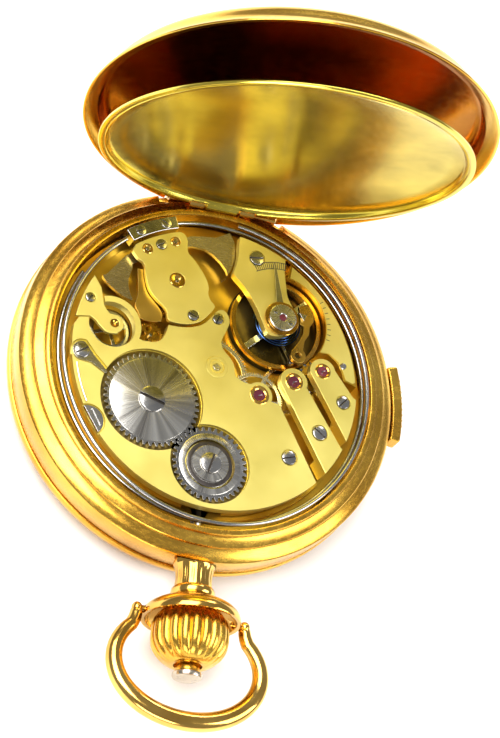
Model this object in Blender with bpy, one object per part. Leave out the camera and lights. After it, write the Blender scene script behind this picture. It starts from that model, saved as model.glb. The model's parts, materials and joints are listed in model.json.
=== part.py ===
"""Gold hunter pocket watch with a repeating movement, lying on its closed front cover with the back open.

The origin is the middle of the flat on the front cover.  +Z points out of the back of the watch, the pendant
points towards -Y, the covers hinge at +Y and the repeater slide sits at +X.  All sizes below are millimetres.
"""

import math

import bmesh
import bpy
from mathutils import Matrix, Vector

MM = 0.001

# ---- driving dimensions, mm ----
OPENING_Z = 11.0            # edge of the opening at the back of the case
BAND_R = 27.5               # outside of the case band
OPENING_R = 23.35           # inside of the case band
PENDANT_Z = 8.1             # height of the pendant, stem and bow axis

BACK_HINGE = (0.0, 25.9, 9.0)
BACK_OPEN = 89.2            # degrees the back cover stands open
CUVETTE_HINGE = (0.0, 24.6, 11.5)
CUVETTE_OPEN = 81.5
CUVETTE_TURN = 2.0          # the inner cover's hinge sits this many degrees round the case
CUVETTE_R = 25.2
FRONT_HINGE = (0.0, 26.7, 4.65)

BOW_PIVOT_Y = -35.5
BOW_CENTRE_Y = -42.4
BOW_HALF = (10.35, 7.6)     # half width and half length of the bow's centre line

PLATE_Z = (6.9, 8.3)        # main plate, bottom and top
BRIDGE_Z = (10.3, 11.6)     # bridges, underside and top
WELL_RIM_Z = 11.0           # raised rim of the main plate beside the balance
MOVEMENT_R = 21.3
BRIDGE_R = 20.9
RECESS_Z = 10.95            # floor of the recesses for the winding wheels
FOOT_Z = 8.65               # underside of the bridges' feet

CENTRE = (0.0, 0.0)
BARREL = (-8.95, -6.85)
CROWN_WHEEL = (0.0, -14.5)
THIRD = (6.5, -2.8)
FOURTH = (11.5, 0.35)
ESCAPE = (15.7, 2.9)
PALLET = (11.85, 4.5)
BALANCE = (9.05, 9.4)
REPEATER = (-6.6, 11.8)
HOUR_HAMMER = (-11.25, 15.6)
QUARTER_HAMMER = (-7.3, 17.7)
GOVERNOR = (-15.2, 3.0)
CLICK = (-19.3, -1.8)
DOG = (-17.6, -11.8)
MINUTE_WHEEL = (-3.5, 3.5)
RACK = (16.0, 13.5)

RATCHET_TEETH = 46
CROWN_WHEEL_TEETH = 36
PRESSURE_ANGLE = math.radians(20)

ROUND = 48                  # facets round the case parts
SMALL = 20                  # facets round small pins and discs

GOLD = ((0.83, 0.52, 0.12), 0.18)
GILT = ((0.85, 0.68, 0.25), 0.3)
STEEL = ((0.55, 0.55, 0.56), 0.25)
BLUE = ((0.05, 0.12, 0.35), 0.25)
BRASS = ((0.78, 0.55, 0.2), 0.35)


# ---- small tools ----

def polar(radius, degrees, centre=(0.0, 0.0)):
    angle = math.radians(degrees)
    return (centre[0] + radius * math.cos(angle), centre[1] + radius * math.sin(angle))


def arc(radius, start, end, count, centre=(0.0, 0.0)):
    """count points on a circle from start to end degrees, both included."""
    return [polar(radius, start + (end - start) * i / (count - 1), centre) for i in range(count)]


def circle(radius, centre=(0.0, 0.0), count=SMALL):
    return [polar(radius, 360 * i / count, centre) for i in range(count)]


def shifted(outline, dx, dy):
    return [(x + dx, y + dy) for x, y in outline]


def is_counterclockwise(outline):
    area = 0.0
    for (x0, y0), (x1, y1) in zip(outline, outline[1:] + outline[:1]):
        area += x0 * y1 - x1 * y0
    return area > 0


def grown(outline, amount):
    """The outline moved outwards by amount, along the mean normal at each corner."""
    side = 1 if is_counterclockwise(outline) else -1
    result = []
    for before, here, after in zip(outline[-1:] + outline[:-1], outline, outline[1:] + outline[:1]):
        a = (Vector(here) - Vector(before)).normalized()
        b = (Vector(after) - Vector(here)).normalized()
        normal = Vector((a.y + b.y, -a.x - b.x)) * side
        if normal.length < 0.2:
            normal = Vector((a.y, -a.x)) * side
        normal.normalize()
        stretch = amount / max(0.5, normal.dot(Vector((a.y, -a.x)) * side))
        result.append((here[0] + normal.x * stretch, here[1] + normal.y * stretch))
    return result


def prism(outline, low, high, bm=None):
    """A flat outline extruded from low to high."""
    bm = bm or bmesh.new()
    if not is_counterclockwise(outline):
        outline = outline[::-1]
    bottom = [bm.verts.new((x, y, low)) for x, y in outline]
    top = [bm.verts.new((x, y, high)) for x, y in outline]
    bm.faces.new(bottom[::-1])
    bm.faces.new(top)
    for i in range(len(outline)):
        j = (i + 1) % len(outline)
        bm.faces.new((bottom[i], bottom[j], top[j], top[i]))
    return bm


def box(x, y, z, bm=None):
    """A block between the given pairs of limits."""
    outline = [(x[0], y[0]), (x[1], y[0]), (x[1], y[1]), (x[0], y[1])]
    return prism(outline, z[0], z[1], bm)


def bar(start, end, width, low, high, bm=None):
    """A straight flat bar between two points."""
    along = (Vector(end) - Vector(start)).normalized() * width / 2
    side = Vector((-along.y, along.x))
    a, b = Vector(start), Vector(end)
    corners = [a - side, b - side, b + side, a + side]
    return prism([tuple(c) for c in corners], low, high, bm)


def turned(profile, centre=(0.0, 0.0), count=ROUND, radius_of=None):
    """A closed (radius, z) profile turned about a vertical axis; radius 0 closes on the axis."""
    bm = bmesh.new()
    rings = []
    for radius, z in profile:
        if radius == 0:
            rings.append(z)
            continue
        ring = []
        for i in range(count):
            r = radius_of(radius, i) if radius_of else radius
            x, y = polar(r, 360 * i / count, centre)
            ring.append(bm.verts.new((x, y, z)))
        rings.append(ring)
    for a, b in zip(rings, rings[1:] + rings[:1]):
        if isinstance(a, float | int) and isinstance(b, float | int):
            continue
        if isinstance(a, list) and isinstance(b, list):
            for i in range(count):
                j = (i + 1) % count
                bm.faces.new((a[i], a[j], b[j], b[i]))
            continue
        ring, z = (a, b) if isinstance(a, list) else (b, a)
        if abs(ring[0].co.z - z) < 1e-6:
            bm.faces.new(ring)
            continue
        tip = bm.verts.new((centre[0], centre[1], z))
        for i in range(count):
            bm.faces.new((ring[i], ring[(i + 1) % count], tip))
    bmesh.ops.recalc_face_normals(bm, faces=bm.faces)
    return bm


def together(shapes):
    """Several shapes that do not touch each other, as one."""
    bm = bmesh.new()
    for shape in shapes:
        mesh = bpy.data.meshes.new("shape")
        shape.to_mesh(mesh)
        shape.free()
        bm.from_mesh(mesh)
        bpy.data.meshes.remove(mesh)
    return bm


def pin(radius, low, high, centre=(0.0, 0.0), count=SMALL):
    return turned([(0, low), (radius, low), (radius, high), (0, high)], centre, count)


def sweep(points, radii, sides=6, upward=(0, 0, 1)):
    """A round wire along points, with flat ends."""
    bm = bmesh.new()
    up = Vector(upward)
    rings = []
    for i, point in enumerate(points):
        before = Vector(points[max(i - 1, 0)])
        after = Vector(points[min(i + 1, len(points) - 1)])
        forward = (after - before).normalized()
        side = forward.cross(up).normalized()
        lift = side.cross(forward)
        ring = []
        for k in range(sides):
            angle = 2 * math.pi * (k + 0.5) / sides
            offset = side * math.cos(angle) + lift * math.sin(angle)
            ring.append(bm.verts.new((Vector(point) + offset * radii[i])))
        rings.append(ring)
    for a, b in zip(rings, rings[1:]):
        for k in range(sides):
            n = (k + 1) % sides
            bm.faces.new((a[k], a[n], b[n], b[k]))
    bm.faces.new(rings[0])
    bm.faces.new(rings[-1])
    bmesh.ops.recalc_face_normals(bm, faces=bm.faces)
    return bm


def along_y(bm, z=PENDANT_Z):
    """Lays a piece turned about Z down so that its axis runs along -Y at height z."""
    bmesh.ops.rotate(bm, verts=bm.verts, matrix=Matrix.Rotation(math.radians(90), 3, "X"))
    bmesh.ops.translate(bm, verts=bm.verts, vec=(0, 0, z))
    return bm


def along_x(bm, y, z):
    """Lays a piece turned about Z down so that its axis runs along X through y, z."""
    bmesh.ops.rotate(bm, verts=bm.verts, matrix=Matrix.Rotation(math.radians(90), 3, "Y"))
    bmesh.ops.translate(bm, verts=bm.verts, vec=(0, y, z))
    return bm


def material(name, finish):
    colour, roughness = finish
    made = bpy.data.materials.new(name)
    made.use_nodes = True
    shader = made.node_tree.nodes["Principled BSDF"]
    shader.inputs["Base Color"].default_value = (*colour, 1.0)
    shader.inputs["Roughness"].default_value = roughness
    shader.inputs["Metallic"].default_value = 1.0
    made.diffuse_color = (*colour, 1.0)
    return made


def place(name, bm, finish, origin=(0.0, 0.0, 0.0)):
    """Turns a bmesh into the named object, with its origin where asked."""
    mesh = bpy.data.meshes.new(name)
    bm.to_mesh(mesh)
    bm.free()
    thing = bpy.data.objects.new(name, mesh)
    bpy.context.scene.collection.objects.link(thing)
    mesh.materials.append(material(name, finish))
    point = Vector(origin)
    mesh.transform(Matrix.Translation(-point))
    thing.location = point
    return thing


def combine(thing, bm, operation):
    """Joins a shape, given in world position, to a piece, or cuts it away."""
    tool = place("tool", bm, STEEL)
    modifier = thing.modifiers.new("combine", "BOOLEAN")
    modifier.operation = operation
    modifier.solver = "EXACT"
    modifier.object = tool
    bpy.context.view_layer.update()
    seen = thing.evaluated_get(bpy.context.evaluated_depsgraph_get())
    mesh = bpy.data.meshes.new_from_object(seen)
    finish = thing.data.materials[0]
    thing.modifiers.clear()
    thing.data = mesh
    mesh.materials.clear()
    mesh.materials.append(finish)
    bpy.data.objects.remove(tool)
    bpy.context.view_layer.update()


def cut(thing, bm):
    combine(thing, bm, "DIFFERENCE")


def join(thing, bm):
    combine(thing, bm, "UNION")


# ---- hinges ----

def hinge_rod(radius, low, high, hinge, turn=0.0):
    bm = along_x(pin(radius, low, high, count=12), hinge[1], hinge[2])
    bmesh.ops.rotate(bm, verts=bm.verts, matrix=Matrix.Rotation(math.radians(turn), 3, "Z"))
    return bm


def knuckle(low, high, hinge, radius, hole, web, turn=0.0):
    """A hinge tube round the X axis through hinge, with a web block that ties it to its leaf."""
    tube = place("knuckle", hinge_rod(radius, low, high, hinge), GOLD)
    join(tube, box((low + 0.06, high - 0.06), web[0], web[1]))
    if hole:
        cut(tube, hinge_rod(hole, low - 0.3, high + 0.3, hinge))
    bm = bmesh.new()
    bm.from_mesh(tube.data)
    bpy.data.objects.remove(tube)
    bmesh.ops.rotate(bm, verts=bm.verts, matrix=Matrix.Rotation(math.radians(turn), 3, "Z"))
    return bm


# ---- case ----

def case_band():
    profile = [
        (27.5, 5.15), (27.5, 8.6), (27.35, 8.87), (25.78, 9.6), (25.7, 9.98), (25.33, 10.06),
        (24.4, 10.42), (24.25, 10.85), (24.0, OPENING_Z), (23.55, OPENING_Z), (OPENING_R, 10.8),
        (OPENING_R, 4.0), (24.6, 4.0), (24.6, 4.95), (27.35, 4.95),
    ]
    band = place("case_band", turned(profile, count=48), GOLD)
    slot = arc(28.5, -11.0, 13.0, 9) + arc(22.5, 13.0, -11.0, 9)
    groove = arc(25.1, 200, 262, 16) + arc(23.0, 262, 200, 16)
    cut(band, box((-8.6, 8.6), (26.8, 28.5), (6.9, 9.5)))
    cut(band, together([
        hinge_rod(1.38, -9.4, 9.4, BACK_HINGE),
        hinge_rod(1.15, -8.0, 8.0, FRONT_HINGE),
        along_y(pin(0.75, 22.0, 29.0)),
        prism(slot, 6.45, 7.75),
        prism(groove, 5.6, 6.7),
    ]))
    parts = []
    for low, high in ((-8.0, -3.1), (3.1, 8.0)):
        parts.append(knuckle(low, high, BACK_HINGE, 0.75, 0.4, ((24.3, 26.45), (7.2, 8.95))))
    for low, high in ((-7.6, -3.1), (3.1, 7.6)):
        parts.append(knuckle(low, high, FRONT_HINGE, 0.6, 0.33, ((25.2, 26.95), (4.7, 6.3))))
    for low, high in ((-4.8, -2.7), (2.7, 4.8)):
        web = ((24.05, 25.05), (9.6, 11.45))
        parts.append(knuckle(low, high, CUVETTE_HINGE, 0.6, 0.33, web, CUVETTE_TURN))
    join(band, together(parts))
    return band


def cover_lift_spring():
    strip = arc(24.7, 202, 260, 16) + arc(24.3, 260, 202, 16)
    place("cover_lift_spring", prism(strip, 5.85, 6.45), STEEL)


def pendant():
    profile = [
        (0.7, 27.6), (2.8, 27.6), (2.9, 28.2), (2.6, 28.9), (2.5, 31.2),
        (2.95, 31.7), (3.0, 32.6), (2.75, 33.0), (4.2, 33.4), (5.7, 34.1), (6.55, 34.9), (6.8, 35.5),
        (6.8, 36.2), (6.05, 36.2), (5.9, 35.1), (4.9, 34.5), (0.7, 34.2),
    ]
    piece = place("pendant", along_y(turned(profile, count=20)), GOLD)
    cut(piece, along_x(pin(0.6, -8.0, 8.0, count=16), BOW_PIVOT_Y, PENDANT_Z))
    # The closed back cover's edge comes down behind this flat.
    cut(piece, box((-4.0, 4.0), (-28.4, -27.0), (8.85, 12.0)))


def bow():
    half_width, half_length = BOW_HALF
    route = [(7.75, BOW_PIVOT_Y), (8.05, BOW_PIVOT_Y - 1.1), (8.55, BOW_PIVOT_Y - 2.2)]
    start = 30
    count = 13
    for i in range(count):
        angle = math.radians(start - (start + 90) * i / (count - 1))
        route.append((half_width * math.cos(angle), BOW_CENTRE_Y + half_length * math.sin(angle)))
    path = route + [(-x, y) for x, y in route[-2::-1]]
    reach = BOW_PIVOT_Y - (BOW_CENTRE_Y - half_length)
    points = [(x, y, PENDANT_Z) for x, y in path]
    radii = [0.8 + 0.55 * ((BOW_PIVOT_Y - y) / reach) ** 0.7 for x, y in path]
    piece = place("bow", sweep(points, radii, 8), GOLD, (0, BOW_PIVOT_Y, PENDANT_Z))
    for low, high in ((6.2, 7.9), (-7.9, -6.2)):
        join(piece, along_x(pin(0.45, low, high, count=12), BOW_PIVOT_Y, PENDANT_Z))


def winding_crown():
    profile = [
        (0.9, 34.75), (3.6, 34.75), (4.6, 35.6), (5.2, 37.2), (5.3, 38.8), (4.95, 40.3), (4.0, 41.6),
        (2.9, 42.3), (1.95, 42.4), (1.95, 41.1), (0.9, 41.1),
    ]

    def fluted(radius, i):
        return radius * (0.9 if i % 2 else 1.0) if radius > 2.95 else radius

    place("winding_crown", along_y(turned(profile, count=32, radius_of=fluted)), GOLD, (0, -38.0, PENDANT_Z))


def crown_button():
    profile = [
        (0, 35.2), (0.6, 35.2), (0.6, 42.3), (1.6, 42.3), (1.6, 43.3), (2.05, 43.45), (2.05, 44.0),
        (1.8, 44.2), (0, 44.25),
    ]
    place("crown_button", along_y(turned(profile, count=24)), STEEL, (0, -43.0, PENDANT_Z))


def winding_stem():
    profile = [
        (0, 16.6), (0.4, 16.6), (0.4, 17.0), (0.5, 17.0), (0.5, 34.0), (0, 34.0),
    ]
    place("winding_stem", along_y(turned(profile, count=12)), STEEL, (0, -25.0, PENDANT_Z))
    ring = [(0.6, 17.2), (1.35, 17.2), (1.35, 18.8), (0.6, 18.8)]

    def toothed(radius, i):
        return radius * (0.82 if i % 2 else 1.0) if radius > 1 else radius

    place("winding_pinion", along_y(turned(ring, count=24, radius_of=toothed)), STEEL, (0, -18.0, PENDANT_Z))


def front_cover():
    profile = [
        (27.3, 4.65), (27.66, 4.4), (27.66, 3.6), (26.9, 2.2), (24.5, 1.15), (20.5, 0.35), (15.0, 0.0),
        (0, 0.0), (0, 0.6), (14.8, 0.6), (20.3, 0.95), (24.0, 1.7), (26.2, 2.7), (26.9, 3.7), (26.9, 4.65),
    ]
    lid = place("front_cover", turned(profile), GOLD, FRONT_HINGE)
    cut(lid, box((-8.0, 8.0), (27.35, 29.0), (3.4, 6.0)))
    cut(lid, together([hinge_rod(0.9, low, high, FRONT_HINGE) for low, high in ((-7.9, -2.9), (2.9, 7.9))]))
    join(lid, knuckle(-2.6, 2.6, FRONT_HINGE, 0.6, 0, ((26.65, 27.2), (3.4, 4.6))))
    cut(lid, hinge_rod(0.36, -3.0, 3.0, FRONT_HINGE))


def front_bezel():
    profile = [
        (21.9, 3.2), (25.7, 3.2), (26.0, 3.5), (26.0, 4.65), (24.9, 4.65), (24.9, 3.75), (21.9, 3.75),
    ]
    bezel = place("front_bezel", turned(profile, count=56), GOLD)
    cut(bezel, box((-8.3, 8.3), (25.3, 27.0), (3.0, 5.0)))


def crystal():
    profile = [
        (21.6, 3.2), (16.0, 2.65), (8.0, 2.2), (0, 2.0), (0, 2.8), (8.0, 3.0), (16.0, 3.4), (21.6, 3.8),
    ]
    place("crystal", turned(profile, count=48), ((0.9, 0.95, 0.95), 0.05))


def swing(lid, degrees, turn=0.0):
    """Opens a closed lid about its hinge, which its origin is on."""
    lid.rotation_euler = (math.radians(-degrees), 0, math.radians(turn))


def back_cover():
    profile = [
        (28.0, 9.0), (28.0, 9.3), (27.4, 9.75), (26.9, 10.5), (26.5, 11.55), (25.9, 12.75), (23.4, 13.7),
        (20.0, 14.15), (12.0, 14.8), (0, 15.05), (0, 14.5), (12.0, 14.2), (19.8, 13.65), (23.1, 13.15),
        (25.35, 12.4), (26.0, 11.4), (26.05, 10.4), (26.05, 9.85), (27.6, 9.05),
    ]
    lid = place("back_cover", turned(profile, count=48), GOLD, BACK_HINGE)
    cut(lid, box((-8.3, 8.3), (26.65, 29.0), (8.0, 10.3)))
    cut(lid, together([hinge_rod(1.05, low, high, BACK_HINGE) for low, high in ((-8.4, -2.9), (2.9, 8.4))]))
    join(lid, knuckle(-2.7, 2.7, BACK_HINGE, 0.75, 0, ((25.75, 26.55), (9.05, 10.5))))
    cut(lid, hinge_rod(0.43, -3.1, 3.1, BACK_HINGE))
    swing(lid, BACK_OPEN)


def cuvette():
    edge = CUVETTE_R
    profile = [
        (edge, 11.25), (edge, 11.6), (24.5, 12.2), (22.0, 12.75), (12.0, 13.2), (0, 13.35), (0, 12.9),
        (12.0, 12.75), (21.8, 12.3), (23.9, 11.9), (24.2, 11.25),
    ]
    lid = place("cuvette", turned(profile), GOLD, CUVETTE_HINGE)
    cut(lid, together([hinge_rod(0.85, low, high, CUVETTE_HINGE) for low, high in ((-5.1, -2.5), (2.5, 5.1))]))
    join(lid, knuckle(-2.3, 2.3, CUVETTE_HINGE, 0.6, 0, ((24.12, 24.88), (11.62, 12.2))))
    cut(lid, hinge_rod(0.36, -2.8, 2.8, CUVETTE_HINGE))
    swing(lid, CUVETTE_OPEN)
    turn = Matrix.Rotation(math.radians(CUVETTE_TURN), 4, "Z")
    lid.matrix_world = turn @ Matrix.Translation(lid.location) @ lid.rotation_euler.to_matrix().to_4x4()


def hinge_pins():
    place("back_hinge_pin", hinge_rod(0.3, -8.0, 8.0, BACK_HINGE), GOLD)
    place("cuvette_hinge_pin", hinge_rod(0.25, -4.8, 4.8, CUVETTE_HINGE, CUVETTE_TURN), GOLD)
    place("front_hinge_pin", hinge_rod(0.25, -7.6, 7.6, FRONT_HINGE), GOLD)


def repeater_slide():
    grip = arc(29.7, -7.3, 15.8, 12) + arc(27.8, 15.8, -7.3, 12)
    slide = place("repeater_slide", prism(grip, 5.6, 8.5), GOLD)
    tongue = arc(28.4, 7.0, 11.6, 4) + arc(23.7, 11.6, 7.0, 4)
    join(slide, prism(tongue, 6.75, 7.45))


# ---- dial side ----

def dial():
    profile = [(1.3, 5.0), (22.9, 5.0), (22.9, 5.5), (1.3, 5.5)]
    face = place("dial", turned(profile, count=56), ((0.93, 0.92, 0.88), 0.15))
    cut(face, pin(0.5, 4.5, 6.0, FOURTH, 16))


def hand(name, centre, reach, tail, width, low, high, hole):
    """A hand that points along -X, where twelve o'clock is, with a boss round its pipe."""
    boss = hole + 0.6
    x, y = centre
    outline = [
        (x - boss * 0.8, y - width / 2), (x - reach * 0.75, y - width * 0.8), (x - reach, y),
        (x - reach * 0.75, y + width * 0.8), (x - boss * 0.8, y + width / 2),
    ]
    piece = place(name, prism(outline, low, high), BLUE, (x, y, 0))
    join(piece, pin(boss, low, high, centre, 20))
    if tail:
        join(piece, bar((x + boss * 0.8, y), (x + tail, y), width, low, high))
    cut(piece, pin(hole, low - 1, high + 1, centre, 16))


def motion_work():
    cannon = [(0.45, 3.75), (0.6, 3.75), (0.6, 6.25), (1.1, 6.25), (1.1, 6.7), (0.45, 6.7)]
    place("cannon_pinion", turned(cannon, count=20), STEEL)
    pipe = [(0.75, 4.25), (0.95, 4.25), (0.95, 5.8), (4.0, 5.8), (4.0, 6.05), (0.75, 6.05)]
    place("hour_wheel", turned(pipe, count=28), BRASS)
    wheel = [(0, 6.3), (3.0, 6.3), (3.0, 6.5), (0.7, 6.5), (0.7, 6.7), (0, 6.7)]
    place("minute_wheel", turned(wheel, MINUTE_WHEEL, 28), BRASS, (*MINUTE_WHEEL, 0))


def repeater_rack():
    """Lever under the dial: one arm follows the slide, the other carries the toothed sector."""
    low, high = 5.8, 6.5
    rack = place("repeater_rack", pin(1.6, low, high, RACK, 20), STEEL, (*RACK, 0))
    join(rack, bar(RACK, (21.6, 4.6), 1.3, low, high))
    join(rack, bar(RACK, (-4.3, 12.4), 1.5, low, high))
    sector = arc(21.6, 175, 194, 10, RACK) + arc(20.2, 194, 175, 10, RACK)
    join(rack, prism(sector, low, high))


# ---- plates and bridges ----

def main_plate():
    low, high = PLATE_Z
    profile = [(0, low), (23.05, low), (23.05, 7.5), (MOVEMENT_R, 7.5), (MOVEMENT_R, high), (0, high)]
    plate = place("main_plate", turned(profile), GILT)
    rim = arc(MOVEMENT_R - 0.15, 5.0, 61.0, 14) + arc(7.0, 83.0, -30.0, 14, BALANCE)
    rim += [(16.6, 5.95), (18.0, 5.0), (18.8, 3.6), (19.1, 2.4), (20.6, 2.0)]
    join(plate, prism(rim, 8.0, WELL_RIM_Z))
    # Barrel pocket, holes for two arbors, and the winding stem's channel, wider round the pinion.
    channel = [(0.8, -24.0), (0.8, -19.1), (1.7, -19.1), (1.7, -16.9), (0.8, -16.9), (0.8, -16.2)]
    cut(plate, together([
        pin(9.3, 7.2, 9.0, BARREL, 40),
        pin(0.95, 6.0, 9.0, CENTRE, 12),
        pin(0.45, 6.0, 9.0, FOURTH, 12),
        prism(channel + [(-x, y) for x, y in channel[::-1]], 6.0, 9.0),
    ]))


def third_lobe():
    return arc(1.9, -20, 135, 9, THIRD)


def barrel_bridge_outline():
    inner = [(9.5, -3.6)] + third_lobe()
    inner += [(4.1, -1.4), (2.8, -0.9), (2.6, 0.1), (2.5, 1.0), (1.8, 1.9), (1.1, 2.5), (0.5, 3.3)]
    inner += [(0.4, 4.1), (0.8, 5.1), (1.3, 6.4), (1.5, 7.3), (1.1, 8.4), (0.3, 8.9), (-0.5, 8.5)]
    inner += [(-1.3, 7.2), (-2.4, 5.9), (-3.8, 5.2), (-5.4, 4.8), (-7.4, 4.7)]
    inner += [(-7.6, 3.6), (-8.2, 2.2), (-9.3, 1.6), (-10.9, 1.5)]
    ring = arc(4.2, -18, 150, 12, (-15.45, 2.95))
    return arc(BRIDGE_R, 175, 318, 30) + inner + ring


def governor_cock_outline():
    edge = [(-17.4, 8.1), (-17.0, 6.4), (-16.7, 5.3)]
    hub = arc(1.3, 95, -60, 8, (-15.1, 3.15))
    back = [(-16.1, 1.5), (-17.1, 2.3), (-17.9, 3.1), (-18.7, 3.5)]
    return edge + hub + back + arc(BRIDGE_R, 171.5, 152.3, 5)


def click_outline():
    return arc(1.35, 75, 255, 9, CLICK) + [(-17.9, -3.25), (-15.75, -4.45), (-15.5, -4.1), (-17.6, -2.1)]


def barrel_bridge():
    low, high = BRIDGE_Z
    bridge = place("barrel_bridge", prism(barrel_bridge_outline(), low, high), GILT)
    for start, end in ((186, 262), (278, 316)):
        foot = arc(20.6, start, end, 12) + arc(19.3, end, start, 12)
        join(bridge, prism(foot, FOOT_Z, low + 0.3))
    cut(bridge, pin(7.4, RECESS_Z, high + 1, BARREL, 48))
    cut(bridge, pin(5.75, RECESS_Z, high + 1, CROWN_WHEEL, 40))
    cut(bridge, prism(grown(click_outline(), 0.3), RECESS_Z, high + 1))
    cut(bridge, pin(2.35, 11.05, high + 1, DOG))
    cut(bridge, pin(3.35, low - 1, high + 1, (-15.45, 2.95), 32))
    cut(bridge, prism(grown(governor_cock_outline(), 0.25), 10.8, high + 1))
    cut(bridge, pin(0.9, low - 1, high + 1, BARREL, 16))


def finger_bridge(name, lobe, radius, arc_angles, right, outer):
    """A narrow bridge from a round lobe over a wheel out to its foot at the plate's edge."""
    outline = arc(radius, arc_angles[0], arc_angles[1], 11, lobe) + [right]
    outline += arc(BRIDGE_R, outer[0], outer[1], 6)
    bridge = place(name, prism(outline, FOOT_Z, BRIDGE_Z[1]), GILT)
    cut(bridge, pin(18.7, FOOT_Z - 1, BRIDGE_Z[0], count=40))


def balance_cock():
    edge = [(2.1, 19.3), (2.2, 18.3), (2.1, 17.3), (1.8, 15.8), (1.5, 14.9), (1.8, 14.5), (3.6, 12.9)]
    edge += [(5.1, 10.8), (6.1, 8.8), (6.9, 7.1), (7.6, 6.55), (8.9, 6.75), (10.5, 7.5), (11.4, 9.0)]
    edge += [(11.3, 10.8), (10.3, 12.2), (9.75, 13.2), (9.5, 14.8), (9.3, 15.8), (9.1, 17.5), (9.2, 18.75)]
    cock = place("balance_cock", prism(edge + arc(BRIDGE_R, 63.9, 84.0, 7), 10.4, 11.6), GILT)
    foot = [(2.7, 17.0), (8.8, 17.0), (8.9, 18.5)] + arc(BRIDGE_R - 0.3, 64.8, 82.2, 7)
    join(cock, prism(foot, FOOT_Z, 10.8))


def stud_arm():
    plate = [(11.85, 9.4), (11.85, 11.2), (11.6, 12.0), (13.0, 12.75), (13.8, 11.6), (13.95, 10.2)]
    plate += [(13.4, 9.2), (13.35, 8.0), (12.75, 6.9), (12.6, 5.6)]
    eye = arc(1.15, 50, -230, 12, (11.9, 4.5))
    arm = place("stud_arm", prism(plate + eye + [(11.8, 6.5), (12.4, 8.0), (12.45, 9.1)], 10.95, 11.6), GILT)
    cut(arm, pin(0.45, 10.0, 12.0, (11.9, 4.5), 14))


def repeater_bridge_outline():
    left = [(-13.4, 14.8), (-12.6, 13.8), (-11.5, 13.3), (-11.3, 11.8), (-10.9, 10.3), (-10.4, 9.2), (-9.4, 8.2)]
    left += [(-8.4, 7.5), (-7.7, 6.7), (-7.7, 5.8), (-7.3, 5.3), (-5.4, 5.3), (-3.9, 5.7), (-2.7, 6.4)]
    right = [(-1.9, 7.3), (-1.0, 8.6), (-0.8, 9.2), (-1.6, 9.9), (-2.0, 10.8), (-1.9, 11.8), (-2.4, 13.1)]
    right += [(-3.4, 14.5), (-4.6, 15.8), (-5.3, 16.3), (-5.5, 17.3), (-5.5, 18.3), (-5.9, 19.1), (-6.6, 19.35)]
    return left + right + arc(20.5, 109.5, 129.5, 6)


def repeater_bridges():
    low, high = 10.9, 11.6
    bridge = place("repeater_bridge", prism(repeater_bridge_outline(), low, high), GILT)
    for spot in ((-9.3, 16.75), (-3.9, 7.0)):
        join(bridge, pin(0.7, FOOT_Z, low + 0.3, spot, 16))
    strip = [(-12.2, 12.7), (-11.8, 9.0), (-12.0, 8.0), (-12.2, 7.0), (-11.5, 5.8), (-11.2, 5.0)]
    strip += [(-8.3, 5.2), (-8.0, 6.4), (-8.6, 7.4), (-9.6, 8.4), (-10.6, 9.4), (-11.0, 11.0), (-11.3, 12.7)]
    place("repeater_under_bridge", prism(strip, 10.4, 10.75), GILT)


def governor_cock():
    place("governor_cock", prism(governor_cock_outline(), 11.0, 11.6), GILT)


# ---- power and winding ----

def involute(angle):
    return math.tan(angle) - angle


def gear_outline(teeth, module, centre, phase):
    """Involute teeth, with the middle of one tooth at phase degrees."""
    pitch_radius = teeth * module / 2
    base = pitch_radius * math.cos(PRESSURE_ANGLE)
    half_tooth = 0.47 * math.pi / teeth + involute(PRESSURE_ANGLE)
    radii = [pitch_radius - 1.1 * module, pitch_radius, pitch_radius + 0.85 * module]
    outline = []
    for tooth in range(teeth):
        middle = math.radians(phase + 360 * tooth / teeth)
        halves = []
        for radius in radii[::2]:
            pressure = math.acos(min(1.0, base / radius))
            halves.append((radius, half_tooth - involute(pressure)))
        for radius, half in halves:
            outline.append(polar(radius, math.degrees(middle - half), centre))
        for radius, half in reversed(halves):
            outline.append(polar(radius, math.degrees(middle + half), centre))
    return outline


def winding_wheels():
    line = Vector(CROWN_WHEEL) - Vector(BARREL)
    module = 2 * line.length / (RATCHET_TEETH + CROWN_WHEEL_TEETH)
    towards = math.degrees(math.atan2(line.y, line.x))
    low, high = 11.05, 11.5
    teeth = gear_outline(RATCHET_TEETH, module, BARREL, towards)
    ratchet = place("ratchet_wheel", prism(teeth, low, high), STEEL, (*BARREL, 0))
    cut(ratchet, pin(0.75, low - 1, high + 1, BARREL, 16))
    gap = towards + 180 + 180 / CROWN_WHEEL_TEETH
    teeth = gear_outline(CROWN_WHEEL_TEETH, module, CROWN_WHEEL, gap)
    crown_wheel = place("crown_wheel", prism(teeth, low, high), STEEL, (*CROWN_WHEEL, 0))
    cut(crown_wheel, pin(3.6, low - 1, high + 1, CROWN_WHEEL, 32))
    core = [(0, 11.05), (3.3, 11.05), (3.3, 11.4), (2.65, 11.5), (2.65, 11.85), (1.5, 11.9), (1.5, 12.15), (0, 12.15)]
    place("crown_wheel_core", turned(core, CROWN_WHEEL, 32), STEEL)
    head = [(0, 11.2), (0.5, 11.2), (0.5, 11.6), (1.9, 11.6), (1.9, 11.85), (0, 11.9)]
    screw = place("ratchet_screw", turned(head, BARREL, 24), STEEL, (*BARREL, 0))
    cut(screw, bar(polar(2.2, 165, BARREL), polar(2.2, -15, BARREL), 0.3, 11.72, 12.1))
    place("barrel_arbor", pin(0.6, 7.3, 11.1, BARREL, 16), STEEL, (*BARREL, 0))


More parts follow.
